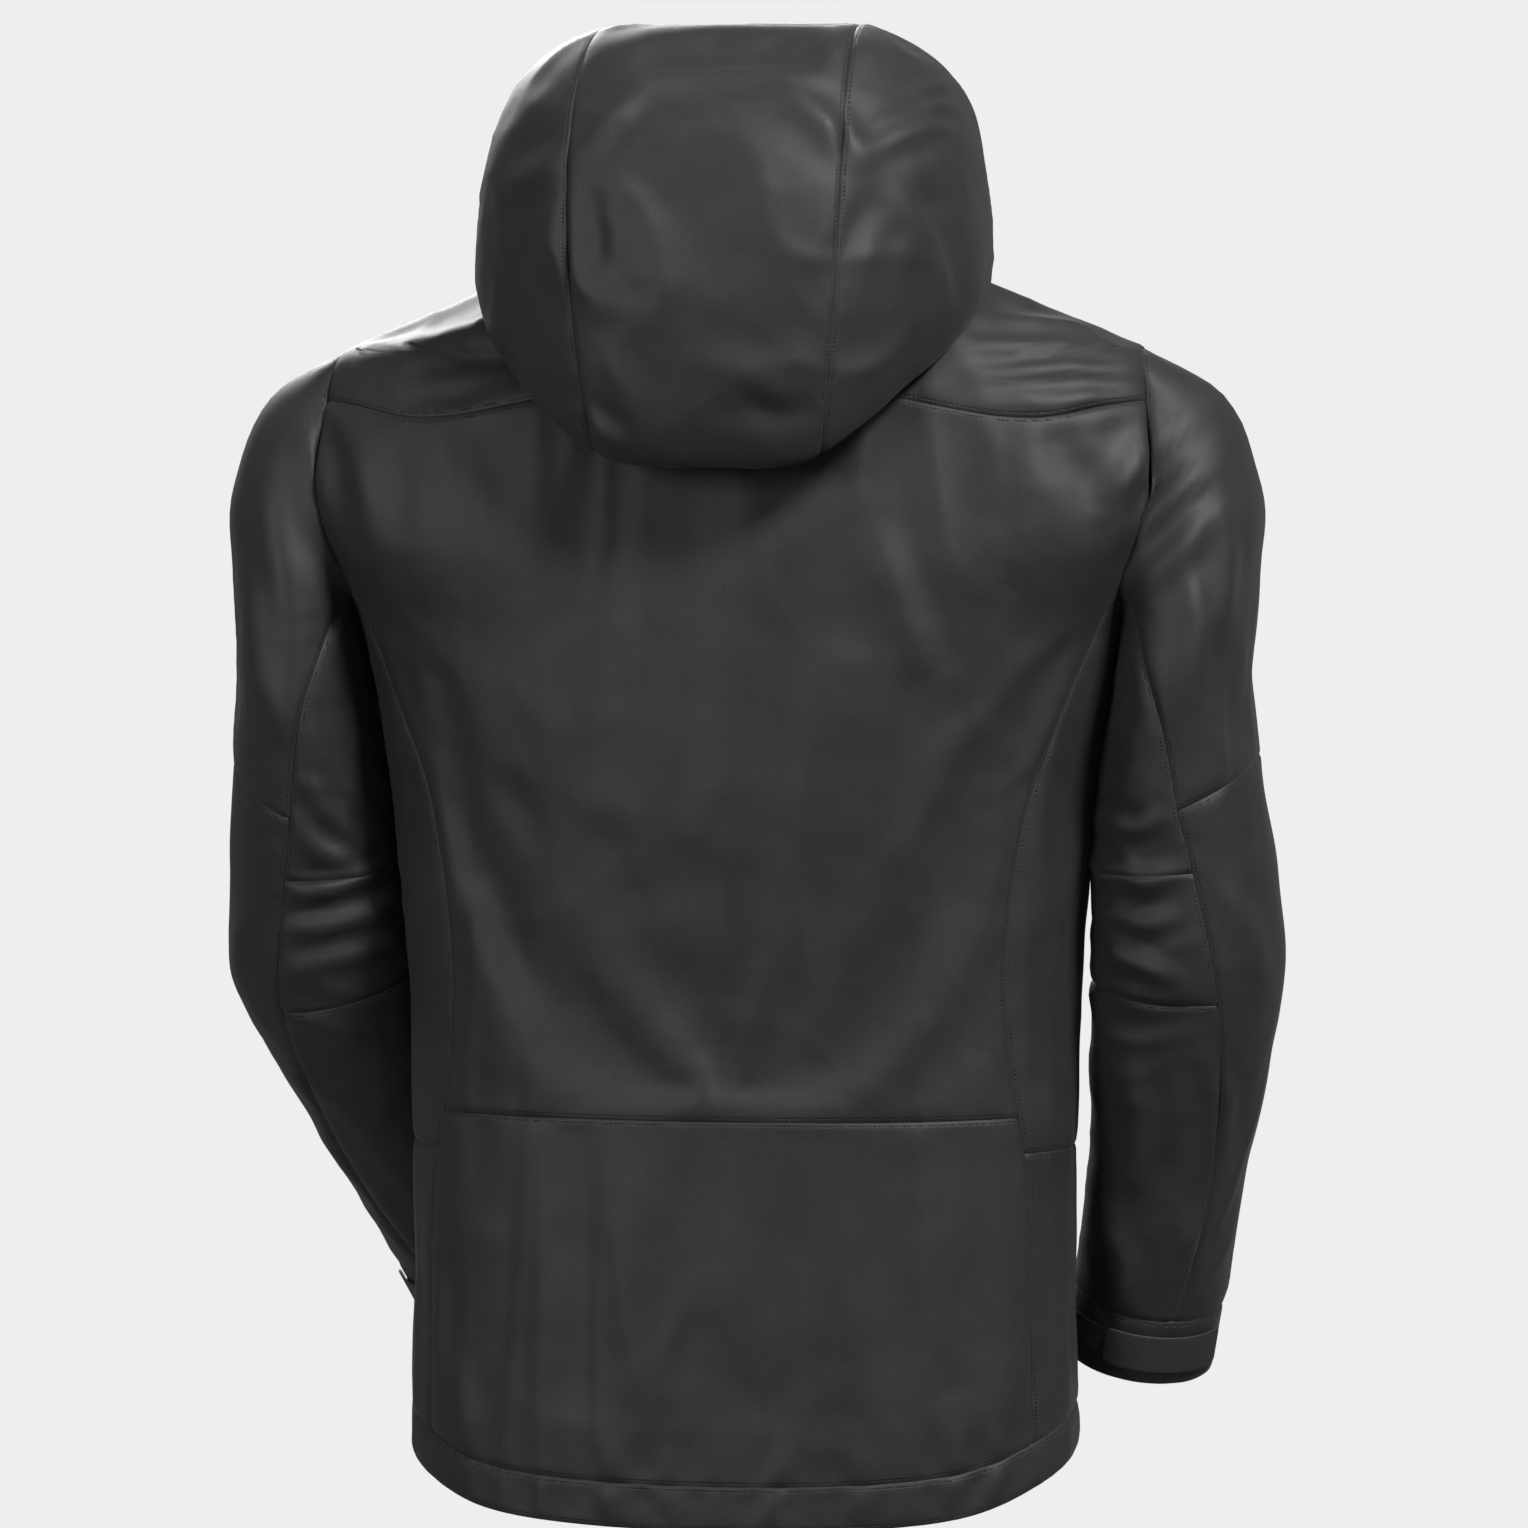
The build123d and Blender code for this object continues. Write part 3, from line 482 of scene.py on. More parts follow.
class Patch:
    """A piece of cloth on a grid of points in millimetres, facing away from a point inside it."""

    def __init__(self, name, grid, inside, seams="tblr", strength=1.0, depth=0.9, looseness=0.3,
                 tucks=""):
        self.name = name
        self.tucks = tucks
        self.looseness = looseness
        self.base = grid
        n = normals(grid)
        self.flip = (n * (grid - np.array(inside))).sum() < 0
        if self.flip:
            n = -n
        sewn = [distance for side, distance in zip("tblr", edge_distance(grid)) if side in seams]
        push = folds(grid, n, strength, looseness)
        for distance in sewn:
            push *= np.clip(distance / NO_FOLD, 0, 1) ** 0.8
        pucker = 0.35 * wander(grid, 9.0, 3)
        self.edge = np.full(grid.shape[:-1], 1e3)
        for distance in sewn:
            push += groove(distance, depth) + pucker * np.exp(-(distance / 12.0) ** 2)
            self.edge = np.minimum(self.edge, distance)
        self.seams = seams
        self.grid = grid + n * push[..., None]

    def turned_in(self):
        """The grid and its distances to the seams, with an allowance turned in at each seam."""
        grid, edge = self.grid, self.edge
        inward = normals(grid) * (1.0 if self.flip else -1.0)
        for side in self.seams:
            axis = 0 if side in "tb" else 1
            lines = [0, 1] if side in "tl" else [-1, -2]
            last, before, down = (np.take(a, [k], axis) for a, k in
                                  ((grid, lines[0]), (grid, lines[1]), (inward, lines[0])))
            out = last - before
            out /= np.maximum(np.linalg.norm(out, axis=-1, keepdims=True), 1e-6)
            reach, drop = (4.0, 0.5) if side in self.tucks else (0.7, ALLOWANCE)
            extra = last + reach * out + drop * down
            zero = np.zeros(extra.shape[:-1])
            first = side in "tl"
            grid = np.concatenate([extra, grid] if first else [grid, extra], axis)
            edge = np.concatenate([zero, edge] if first else [edge, zero], axis)
            inward = np.concatenate([down, inward] if first else [inward, down], axis)
        return grid, edge

    def build(self, material, lining=None, thickness=CLOTH, slot="shell_fabric"):
        """The Blender object."""
        grid, edge = self.turned_in()
        rows, columns = grid.shape[:2]
        index = np.arange(rows * columns).reshape(rows, columns)
        a, b = index[:-1, :-1].ravel(), index[:-1, 1:].ravel()
        c, d = index[1:, 1:].ravel(), index[1:, :-1].ravel()
        quads = np.stack([a, d, c, b] if self.flip else [a, b, c, d], axis=1)
        piece = make_mesh(self.name, grid.reshape(-1, 3), quads)
        store(piece, "seam", edge.ravel())
        finish_cloth(piece, material, lining, thickness)
        return piece


def make_mesh(name, points, faces):
    """A mesh object from points in millimetres."""
    mesh = bpy.data.meshes.new(name)
    mesh.from_pydata((np.asarray(points) * MM).tolist(), [], [list(map(int, f)) for f in faces])
    mesh.update()
    mesh.polygons.foreach_set("use_smooth", [True] * len(mesh.polygons))
    piece = bpy.data.objects.new(name, mesh)
    scene.collection.objects.link(piece)
    return piece


def store(piece, name, values):
    """A number on each of the piece's points, for its material."""
    layer = piece.data.attributes.new(name, "FLOAT", "POINT")
    layer.data.foreach_set("value", np.asarray(values, np.float32))


def finish_cloth(piece, material, lining, thickness):
    """Materials and thickness; the inside shows the lining."""
    piece.data.materials.append(material)
    piece.data.materials.append(lining or material)
    solid = piece.modifiers.new("thickness", "SOLIDIFY")
    solid.thickness = thickness * MM
    solid.offset = -1
    solid.use_even_offset = False
    solid.material_offset = 1
    solid.material_offset_rim = 0


# ------------------------------------------------------------------ materials
def shader(name, base, roughness):
    """A new material, its node maker and its surface shader."""
    material = bpy.data.materials.new(name)
    material.use_nodes = True
    tree = material.node_tree
    surface = tree.nodes["Principled BSDF"]
    surface.inputs["Base Color"].default_value = (*base, 1)
    surface.inputs["Roughness"].default_value = roughness

    def add(kind, **settings):
        node = tree.nodes.new(kind)
        for key, value in settings.items():
            if key in node.inputs:
                node.inputs[key].default_value = value
            else:
                setattr(node, key, value)
        return node

    return material, add, tree.links.new, surface


def ramp(add, low, high, first, second):
    """A colour ramp between two greys or colours."""
    node = add("ShaderNodeValToRGB")
    node.color_ramp.elements[0].position = low
    node.color_ramp.elements[1].position = high
    node.color_ramp.elements[0].color = (*first, 1)
    node.color_ramp.elements[1].color = (*second, 1)
    return node


def scale(add, low, high, first, last):
    """A node that turns values between low and high into values between first and last."""
    return add("ShaderNodeMapRange",
               **{"From Min": low, "From Max": high, "To Min": first, "To Max": last})


def cloth_material(name, dark, light, roughness, grain, depth, stitched):
    """Woven face cloth: fine grain, faint blotches, and stitching beside its seams."""
    material, add, link, surface = shader(name, dark, roughness)
    place = add("ShaderNodeTexCoord")

    def texture(kind, **settings):
        node = add(kind, **settings)
        link(place.outputs["Object"], node.inputs["Vector"])
        return node

    blotch = texture("ShaderNodeTexNoise", Scale=14.0, Detail=4.0, Roughness=0.6)
    colour = ramp(add, 0.3, 0.75, dark, light)
    link(blotch.outputs["Fac"], colour.inputs["Fac"])
    fine = texture("ShaderNodeTexNoise", Scale=grain, Detail=2.0, Roughness=0.7)
    melange = texture("ShaderNodeTexNoise", Scale=grain * 0.32, Detail=3.0, Roughness=0.8)
    speckle = add("ShaderNodeMix", data_type="RGBA", blend_type="OVERLAY")
    speckle.inputs["Factor"].default_value = 0.6
    link(colour.outputs["Color"], speckle.inputs["A"])
    link(melange.outputs["Fac"], speckle.inputs["B"])
    last_colour = speckle.outputs["Result"]
    weave = texture("ShaderNodeTexVoronoi", Scale=grain * 0.8, Randomness=0.35)
    height = add("ShaderNodeMath", operation="ADD")
    link(weave.outputs["Distance"], height.inputs[0])
    link(fine.outputs["Fac"], height.inputs[1])
    bump = add("ShaderNodeBump", Strength=0.35, Distance=depth)
    link(height.outputs["Value"], bump.inputs["Height"])
    last_normal = bump.outputs["Normal"]
    if stitched:
        seam = add("ShaderNodeAttribute", attribute_name="seam")
        line = add("ShaderNodeMath", operation="SUBTRACT")
        line.inputs[1].default_value = STITCH_LINE
        link(seam.outputs["Fac"], line.inputs[0])
        near = add("ShaderNodeMath", operation="ABSOLUTE")
        link(line.outputs["Value"], near.inputs[0])
        thread = scale(add, 0.25, 0.7, 1.0, 0.0)
        link(near.outputs["Value"], thread.inputs["Value"])
        dashes = texture("ShaderNodeTexVoronoi", Scale=380.0, Randomness=0.0)
        gap = scale(add, 0.25, 0.5, 1.0, 0.15)
        link(dashes.outputs["Distance"], gap.inputs["Value"])
        stitch = add("ShaderNodeMath", operation="MULTIPLY")
        link(thread.outputs["Result"], stitch.inputs[0])
        link(gap.outputs["Result"], stitch.inputs[1])
        darker = add("ShaderNodeMix", data_type="RGBA", blend_type="MIX")
        link(stitch.outputs["Value"], darker.inputs["Factor"])
        link(last_colour, darker.inputs["A"])
        darker.inputs["B"].default_value = (*(0.35 * part for part in dark), 1)
        last_colour = darker.outputs["Result"]
        sunk = add("ShaderNodeBump", Strength=0.7, Distance=0.0006, invert=True)
        link(stitch.outputs["Value"], sunk.inputs["Height"])
        link(last_normal, sunk.inputs["Normal"])
        last_normal = sunk.outputs["Normal"]
    rough = scale(add, 0.0, 1.0, roughness - 0.08, roughness + 0.1)
    link(blotch.outputs["Fac"], rough.inputs["Value"])
    link(rough.outputs["Result"], surface.inputs["Roughness"])
    link(last_colour, surface.inputs["Base Color"])
    link(last_normal, surface.inputs["Normal"])
    surface.inputs["Sheen Weight"].default_value = 0.04
    surface.inputs["Sheen Roughness"].default_value = 0.45
    surface.inputs["Specular IOR Level"].default_value = 0.3
    return material


def hard_material(name, dark, light, roughness, scale, metallic=0.0):
    """Moulded plastic, rubber or enamel: fine grain and faint wear."""
    material, add, link, surface = shader(name, dark, roughness)
    place = add("ShaderNodeTexCoord")
    grain = add("ShaderNodeTexNoise", Scale=scale, Detail=3.0)
    link(place.outputs["Object"], grain.inputs["Vector"])
    colour = ramp(add, 0.35, 0.7, dark, light)
    link(grain.outputs["Fac"], colour.inputs["Fac"])
    link(colour.outputs["Color"], surface.inputs["Base Color"])
    bump = add("ShaderNodeBump", Strength=0.25, Distance=0.0002)
    link(grain.outputs["Fac"], bump.inputs["Height"])
    link(bump.outputs["Normal"], surface.inputs["Normal"])
    surface.inputs["Metallic"].default_value = metallic
    return material


SHELL = cloth_material("shell cloth", (0.0148, 0.0148, 0.0152), (0.0218, 0.0218, 0.0222),
                       0.56, 2600.0, 0.00012, True)
BACKER = cloth_material("tricot backer", (0.09, 0.092, 0.097), (0.13, 0.132, 0.138),
                        0.85, 1500.0, 0.0003, False)
TRIM = cloth_material("trim cloth", (0.012, 0.012, 0.013), (0.02, 0.02, 0.021),
                      0.8, 1400.0, 0.0004, False)
PILE = cloth_material("loop pile", (0.009, 0.009, 0.01), (0.02, 0.02, 0.02),
                      0.95, 700.0, 0.0012, False)
CORD = cloth_material("braided cord", (0.01, 0.01, 0.011), (0.022, 0.022, 0.023),
                      0.8, 1200.0, 0.0006, False)
LABEL = cloth_material("blank label", (0.22, 0.22, 0.22), (0.3, 0.3, 0.3),
                       0.8, 1600.0, 0.0003, False)
ZIP = hard_material("zip tape", (0.012, 0.012, 0.013), (0.022, 0.022, 0.023), 0.42, 900.0)
RUBBER = hard_material("moulded rubber", (0.014, 0.014, 0.015), (0.024, 0.024, 0.025),
                       0.6, 700.0)
PLASTIC = hard_material("moulded plastic", (0.012, 0.012, 0.013), (0.03, 0.03, 0.03),
                        0.38, 500.0)
ENAMEL = hard_material("black enamel", (0.02, 0.02, 0.021), (0.06, 0.06, 0.06),
                       0.3, 300.0, 0.6)


# ------------------------------------------------------------------ torso panels
def curve_value(pairs, at):
    """A smooth line through (key, value) pairs."""
    pairs = np.asarray(pairs, float)
    return smooth(pairs[:, 0], pairs[:, 1:], at)[..., 0]


def hem_height(y):
    """Height of the hem's lowest edge at depth y: dropped at the back."""
    keys = [(-130, -749.0), (-60, -752.0), (0, -757.0), (60, -774.0), (97, -790.0), (130, -797.0)]
    return curve_value(keys, y)


def armhole_angle(z, side):
    """Where the armhole seam cuts the torso at height z, behind (side 1) or in front (-1)."""
    z = np.asarray(z, float)
    x = curve_value(ARMHOLE, z)
    angle = back_angle(x, z) if side > 0 else front_angle(x, z)
    return np.where(z > ARMHOLE[0][0], 0.0, angle)


def ruled_patch(left, right, top, bottom, rows=None):
    """Points on the torso between two side curves of z and two end curves of angle."""
    middle = (float(top(np.array(0.0))) + float(bottom(np.array(0.0)))) / 2
    width = np.linalg.norm(torso_point(left(middle), middle) - torso_point(right(middle), middle))
    across = spaced(max(width * 1.15, 30.0))
    if rows is None:
        height = abs(float(top(np.array(0.0))) - float(bottom(np.array(0.0))))
        rows = spaced(max(height, 20.0))
    u, v = np.meshgrid(across, rows)
    angle = np.full(u.shape, math.pi / 2)
    z = np.full(u.shape, middle)
    for _ in range(12):
        z_top, z_bottom = top(angle), bottom(angle)
        z = z_top + (z_bottom - z_top) * v
        angle = left(z) + (right(z) - left(z)) * u
    return torso_point(angle, z)


def yoke_line(angle):
    """Height of the back yoke's seam at an angle round the back."""
    x = np.abs(torso_point(np.clip(angle, 0.02, math.pi - 0.02), -90.0)[..., 0])
    return curve_value(YOKE, x)


def hem_seam(angle):
    """Height of the seam above the hem channel, at an angle round the jacket."""
    return hem_height(torso_point(angle, -760.0)[..., 1]) + HEM_BAND


def level(z):
    """A seam at one height."""
    return lambda angle: np.full(np.shape(angle), float(z))


def zip_edge(side):
    """The front edge beside the zip, on the wearer's left (1) or right (-1)."""
    return lambda z: front_angle(np.full(np.shape(z), side * ZIP_GAP), z)


def roof_rows(z_low):
    """Rows from the neck down to z_low, evenly spaced along the shoulder."""
    z = np.linspace(NECK_TOP, z_low, 200)
    row = torso_row(z)
    profile = np.stack([(row[:, 0] + row[:, 1]) / 2, z, z * 0], axis=1)
    along = distances(profile)
    wanted = spaced(along[-1]) * along[-1]
    return (np.interp(wanted, along, z) - NECK_TOP) / (z_low - NECK_TOP)


TORSO_MIDDLE = (0, 0, -450)
HOOD_MIDDLE = (0, 40, 40)
cloths = []                      # every sewn panel, with what it stands for and how it moves


def add_cloth(name, grid, node, inside, moves, **options):
    """One sewn panel. It rides on a body, or, given (body, body, start, end) in metres, stays where
    it is.
    """
    cloths.append((Patch(name, grid, inside, **options), node, moves))


def sew_on(piece, node, moves):
    """Hide the CAD node a panel stands for, and let the panel ride on its body or stay where it is.
    """
    if node:
        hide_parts(node)
    if isinstance(moves, str):
        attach(piece, moves)
    else:
        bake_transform(piece)


def build_cloths():
    """Make the mesh of every sewn panel."""
    for patch, node, moves in cloths:
        sew_on(patch.build(SHELL, BACKER), node, moves)


# ------------------------------------------------------------------ loose cloth
SIM_CELL = 9.0                   # the simulated cloth's cell
SIM_FRAMES = 36                  # long enough for the cloth to settle
SLACK = 0.06                     # how much too long the loosest cloth is for the form under it
MOST_MOVE = 9.0                  # no point moves further than this, in millimetres
HOLD = 0.12                      # how firmly the form holds the cloth between its seams
BENDING = 3.0                    # how stiff the cloth is against a fold


def sparse(along, least):
    """Which grid lines to keep, so that neighbours stand at least this far apart."""
    keep = [0]
    for i in range(1, len(along) - 1):
        if along[i] - along[keep[-1]] >= least and along[-1] - along[i] >= least:
            keep.append(i)
    return keep + [len(along) - 1]


def loosen(patches):
    """Simulate the panels as cloth a little too large for the form, held at their seams."""
    points, faces, hold, loose, parts = [], [], [], [], []
    for patch in patches:
        top, bottom, left, right = edge_distance(patch.grid)
        rows = sparse(top.mean(axis=1), SIM_CELL)
        columns = sparse(left.mean(axis=0), SIM_CELL)
        grid = patch.grid[np.ix_(rows, columns)]
        first = sum(len(p) for p in points)
        index = first + np.arange(grid.shape[0] * grid.shape[1]).reshape(grid.shape[:2])
        faces += np.stack([index[:-1, :-1], index[:-1, 1:], index[1:, 1:], index[1:, :-1]],
                          axis=-1).reshape(-1, 4).tolist()
        points.append(grid.reshape(-1, 3))
        edge = np.minimum(np.minimum(top, bottom), np.minimum(left, right))
        hold.append(np.where(edge[np.ix_(rows, columns)] < 1.0, 1.0, HOLD).ravel())
        loose.append(np.full(grid.shape[0] * grid.shape[1], patch.looseness))
        parts.append((patch, rows, columns, top.mean(axis=1), left.mean(axis=0)))
    start = np.concatenate(points)
    body = make_mesh("loose_cloth", start, faces)
    slack = sorted({patch.looseness for patch in patches})
    for name, weights, found in (("hold", (1.0, HOLD), hold), ("loose", slack, loose)):
        group = body.vertex_groups.new(name=name)
        for weight in weights:
            group.add(np.flatnonzero(np.concatenate(found) == weight).tolist(), weight, "REPLACE")
    cloth = body.modifiers.new("cloth", "CLOTH")
    for name, value in (
        ("quality", 5), ("mass", 0.12), ("tension_stiffness", 25), ("compression_stiffness", 25),
        ("shear_stiffness", 12), ("bending_stiffness", BENDING), ("air_damping", 4),
        ("vertex_group_shrink", "loose"), ("shrink_min", 0.0), ("shrink_max", -SLACK),
        ("vertex_group_mass", "hold"), ("pin_stiffness", 1.0),
    ):
        setattr(cloth.settings, name, value)
    cloth.settings.effector_weights.gravity = 0.6
    cloth.collision_settings.use_collision = False
    cloth.collision_settings.use_self_collision = False
    cloth.point_cache.frame_start = 1
    cloth.point_cache.frame_end = SIM_FRAMES
    for frame_number in range(1, SIM_FRAMES + 1):
        scene.frame_set(frame_number)
    moved = body.evaluated_get(bpy.context.evaluated_depsgraph_get()).data
    end = np.zeros(len(moved.vertices) * 3, np.float32)
    moved.vertices.foreach_get("co", end)
    move = end.reshape(-1, 3) / MM - start
    size = np.linalg.norm(move, axis=1, keepdims=True)
    move *= np.tanh(size / MOST_MOVE) * MOST_MOVE / np.maximum(size, 1e-6)
    move *= beside_zips(start)[:, None]
    bpy.data.objects.remove(body)
    scene.frame_set(1)
    done = 0
    for patch, rows, columns, down, across in parts:
        count = len(rows) * len(columns)
        piece = move[done:done + count].reshape(len(rows), -1)
        done += count
        tall = smooth(down[rows], piece, down).reshape(len(down), len(columns), 3)
        wide = smooth(across[columns], tall.transpose(1, 0, 2).reshape(len(columns), -1), across)
        patch.grid = patch.grid + wide.reshape(len(across), len(down), 3).transpose(1, 0, 2)


def back_princess(z):
    """The angle of the long seam at the left of the back."""
    return back_angle(curve_value(PRINCESS, z), z)


def front_princess(z):
    """The angle of the seam between the left side and the left front."""
    return front_angle(curve_value(FRONT_SEAM, z), z)


def below_armhole(line, side):
    """The armhole's line down to its lowest height, and a seam's line below that."""
    return lambda z: np.where(z > PIT_LINE, armhole_angle(z, side), line(z))


def armpit(angle):
    """Height of the armhole's lowest part, between its back and its front."""
    share = np.abs(np.arcsin(np.sin(angle))) / float(armhole_angle(PIT_LINE, 1))
    return ARMPIT + (PIT_LINE - ARMPIT) * np.clip(share, 0, 1) ** 2


def mirrored(line, side):
    """A side curve as it is on the wearer's left (1), or as its mirror image (-1)."""
    return line if side > 0 else lambda z: math.pi - line(z)


def unwound(line):
    """A side curve on the front, with its angles below a quarter turn."""
    return lambda z: np.where(line(z) > 0.5 * math.pi, line(z) - 2 * math.pi, line(z))


def torso_panels():
    """The jacket's body: yokes, back, sides and fronts."""
    yoke_side = lambda z: armhole_angle(z, 1)
    back_side = below_armhole(back_princess, 1)
    for name, node, line, top, bottom, rows, inside, tucks in (
        ("back_yoke_cloth", "back_yoke", yoke_side, level(NECK_TOP), yoke_line,
         roof_rows(YOKE_LOW), (0, 0, -120), ""),
        ("centre_back_cloth", "centre_back_panel", back_side, yoke_line, level(WAIST), None,
         TORSO_MIDDLE, ""),
        ("lower_back_cloth", "lower_back_panel", back_princess, level(WAIST), hem_seam, None,
         TORSO_MIDDLE, "b"),
    ):
        grid = ruled_patch(line, mirrored(line, -1), top, bottom, rows)
        add_cloth(name, grid, node, inside, "torso", tucks=tucks)
    for side, word in SIDES:
        ends = mirrored(front_princess, side), mirrored(back_princess, side)
        grid = ruled_patch(*ends, armpit, level(SIDE_WAIST))
        add_cloth(f"{word}_side_cloth", grid, f"{word}_side_panel", TORSO_MIDDLE, "torso")
        grid = ruled_patch(*ends, level(SIDE_WAIST), hem_seam)
        add_cloth(f"{word}_lower_side_cloth", grid, f"{word}_lower_side_panel",
                  TORSO_MIDDLE, "torso", tucks="b")
        inner = unwound(zip_edge(side))
        outer = unwound(mirrored(lambda z: armhole_angle(z, -1), side))
        grid = ruled_patch(inner, outer, level(NECK_TOP), level(FRONT_YOKE),
                           roof_rows(FRONT_YOKE))
        add_cloth(f"{word}_front_yoke_cloth", grid, f"{word}_front_yoke", (0, 0, -160), "torso")
        outer = unwound(mirrored(below_armhole(front_princess, -1), side))
        grid = ruled_patch(inner, outer, level(FRONT_YOKE), hem_seam)
        add_cloth(f"{word}_front_cloth", grid, f"{word}_front_panel", TORSO_MIDDLE, "torso",
                  tucks="b")


# ------------------------------------------------------------------ bands, rolls and cords
def frames(path, normal):
    """For each point of a path: its outward normal and the line across."""
    along = np.gradient(path, axis=0)
    along /= np.linalg.norm(along, axis=1, keepdims=True)
    normal = normal - (normal * along).sum(axis=1, keepdims=True) * along
    normal /= np.linalg.norm(normal, axis=1, keepdims=True)
    return normal, np.cross(along, normal)


def sweep(name, path, normal, section, material):
    """A solid strip with closed ends: a section (across, out) carried along a path."""
    path, normal = np.asarray(path, float), np.asarray(normal, float)
    out, across = frames(path, normal)
    section = np.asarray(section, float)
    ring = len(section)
    points = (path[:, None] + section[None, :, :1] * across[:, None]
              + section[None, :, 1:] * out[:, None]).reshape(-1, 3)
    last = (len(path) - 1) * ring
    faces = [(i + j, i + (j + 1) % ring, i + ring + (j + 1) % ring, i + ring + j)
             for i in range(0, last, ring) for j in range(ring)]
    faces.append(tuple(range(ring))[::-1])
    faces.append(tuple(range(last, last + ring)))
    piece = make_mesh(name, points, faces)
    piece.data.materials.append(material)
    return piece


def rounded(width, height, corner, lift=0.0):
    """A rounded rectangle section, centred across and on the surface."""
    points = []
    for cx, cy, start in ((1, 1, 0), (-1, 1, 90), (-1, -1, 180), (1, -1, 270)):
        for step in range(5):
            angle = math.radians(start + 90 * step / 4)
            points.append((cx * (width / 2 - corner) + corner * math.cos(angle),
                           lift + cy * (height / 2 - corner) + corner * math.sin(angle)))
    return points


# ------------------------------------------------------------------ hood
def hood_grid(across, levels):
    """Points on the hood: across runs from 0 in the middle to 5 or -5 at the front edge."""
    arcs = np.array(HOOD, float)
    keys = np.arange(len(HOOD), dtype=float)
    by_level = smooth(keys, arcs.reshape(len(HOOD), -1), levels).reshape(len(levels), 6, 3)
    rows = []
    for arc in by_level:
        mirrored = arc[1:][::-1] * np.array([-1, 1, 1])
        whole = np.vstack([mirrored, arc])
        rows.append(smooth(np.arange(-5.0, 6.0), whole, across))
    return np.array(rows)


def hood_steps(first, last, length, sewn_end=True):
    """Places on the hood from first to last, spread for a cloth of this length."""
    return first + (last - first) * spaced(length, last=sewn_end)


BASE_LEVEL = 1.55                # the hood's lower band ends here, under the pouch
EDGE_LEVEL = 8.72                # the face binding begins here
FACE_ACROSS = 4.86               # and here at the sides


def hood_panels():
    """Three panels over the head and the band at the neck."""
    up = hood_steps(BASE_LEVEL, EDGE_LEVEL, 560.0)
    for name, first, last, length in (("hood_centre", -1.0, 1.0, 165.0),
                                      ("left_hood", 1.0, FACE_ACROSS, 250.0),
                                      ("right_hood", -1.0, -FACE_ACROSS, 250.0)):
        add_cloth(f"{name}_cloth", hood_grid(hood_steps(first, last, length), up),
                  f"{name}_panel", HOOD_MIDDLE, "hood", looseness=0.55)
    low = hood_steps(0.0, BASE_LEVEL, 130.0, False)
    around = hood_steps(-FACE_ACROSS, FACE_ACROSS, 420.0)
    neck = ("torso", "hood", (0, 0.08, 0.010), (0, 0.13, -0.060))
    add_cloth("hood_base_cloth", hood_grid(around, low), "hood_base", HOOD_MIDDLE, neck,
              seams="b")


def face_edge():
    """The face opening's edge, from the wearer's left chin over the forehead."""
    arc = hood_grid(np.linspace(0, FACE_ACROSS, 90), np.array([9.0]))[0]
    column = hood_grid(np.array([FACE_ACROSS]), np.linspace(9.0, 0.4, 60))[:, 0]
    half = resample(np.vstack([arc, column[1:]]), 110)
    return np.vstack([half[::-1], half[1:] * np.array([-1, 1, 1])])


PEAK_ROOT = 84.0                 # the peak is sewn to the face edge above this height
PEAK_REACH = 40.0


def hood_edge():
    """The binding along the face edge, with its drawcord channel, and the stiff peak."""
    edge = face_edge()
    normal = edge - np.array([0.0, 30.0, 40.0])
    normal[:, 1] *= 0.25
    binding = sweep("hood_face_binding_cloth", edge + np.array([0, 5.0, 0]), normal,
                    rounded(15.0, 3.4, 1.5, lift=-0.6), SHELL)
    store(binding, "seam", np.resize([1.0, STITCH_LINE, STITCH_LINE, 5.0, 9.0],
                                     len(binding.data.vertices)))
    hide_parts("hood_face_binding")
    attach(binding, "hood")
    top = edge[(edge[:, 2] > PEAK_ROOT)]
    share = np.linspace(-1, 1, len(top))
    reach = PEAK_REACH * (1 - np.abs(share) ** 2.4)
    rows = []
    for step in np.linspace(0, 1, 14):
        forward = top + np.stack([top[:, 0] * 0, -reach * step, -reach * step * 0.30], axis=1)
        forward[:, 2] -= 0.0009 * (forward[:, 0] ** 2) * step * 0.6
        rows.append(forward)
    patch = Patch("hood_peak", np.array(rows), (0, -90, 0), seams="b", strength=0.25)
    sew_on(patch.build(SHELL, SHELL, 2.6), "hood_brim", "hood")


# ------------------------------------------------------------------ sleeves
SLEEVE_COLUMNS = 109


def armhole_loop():
    """The armhole seam on the wearer's left, from the top down the back and up the front."""
    z = np.linspace(ARMHOLE[0][0], ARMHOLE[-1][0], 80)
    behind = torso_point(armhole_angle(z, 1), z)
    before = torso_point(armhole_angle(z, -1), z)
    angle = np.linspace(float(armhole_angle(PIT_LINE, 1)), float(armhole_angle(PIT_LINE, -1)), 40)
    bottom = torso_point(angle, armpit(angle))
    return np.vstack([behind, bottom[1:-1], before[::-1][:-1]])


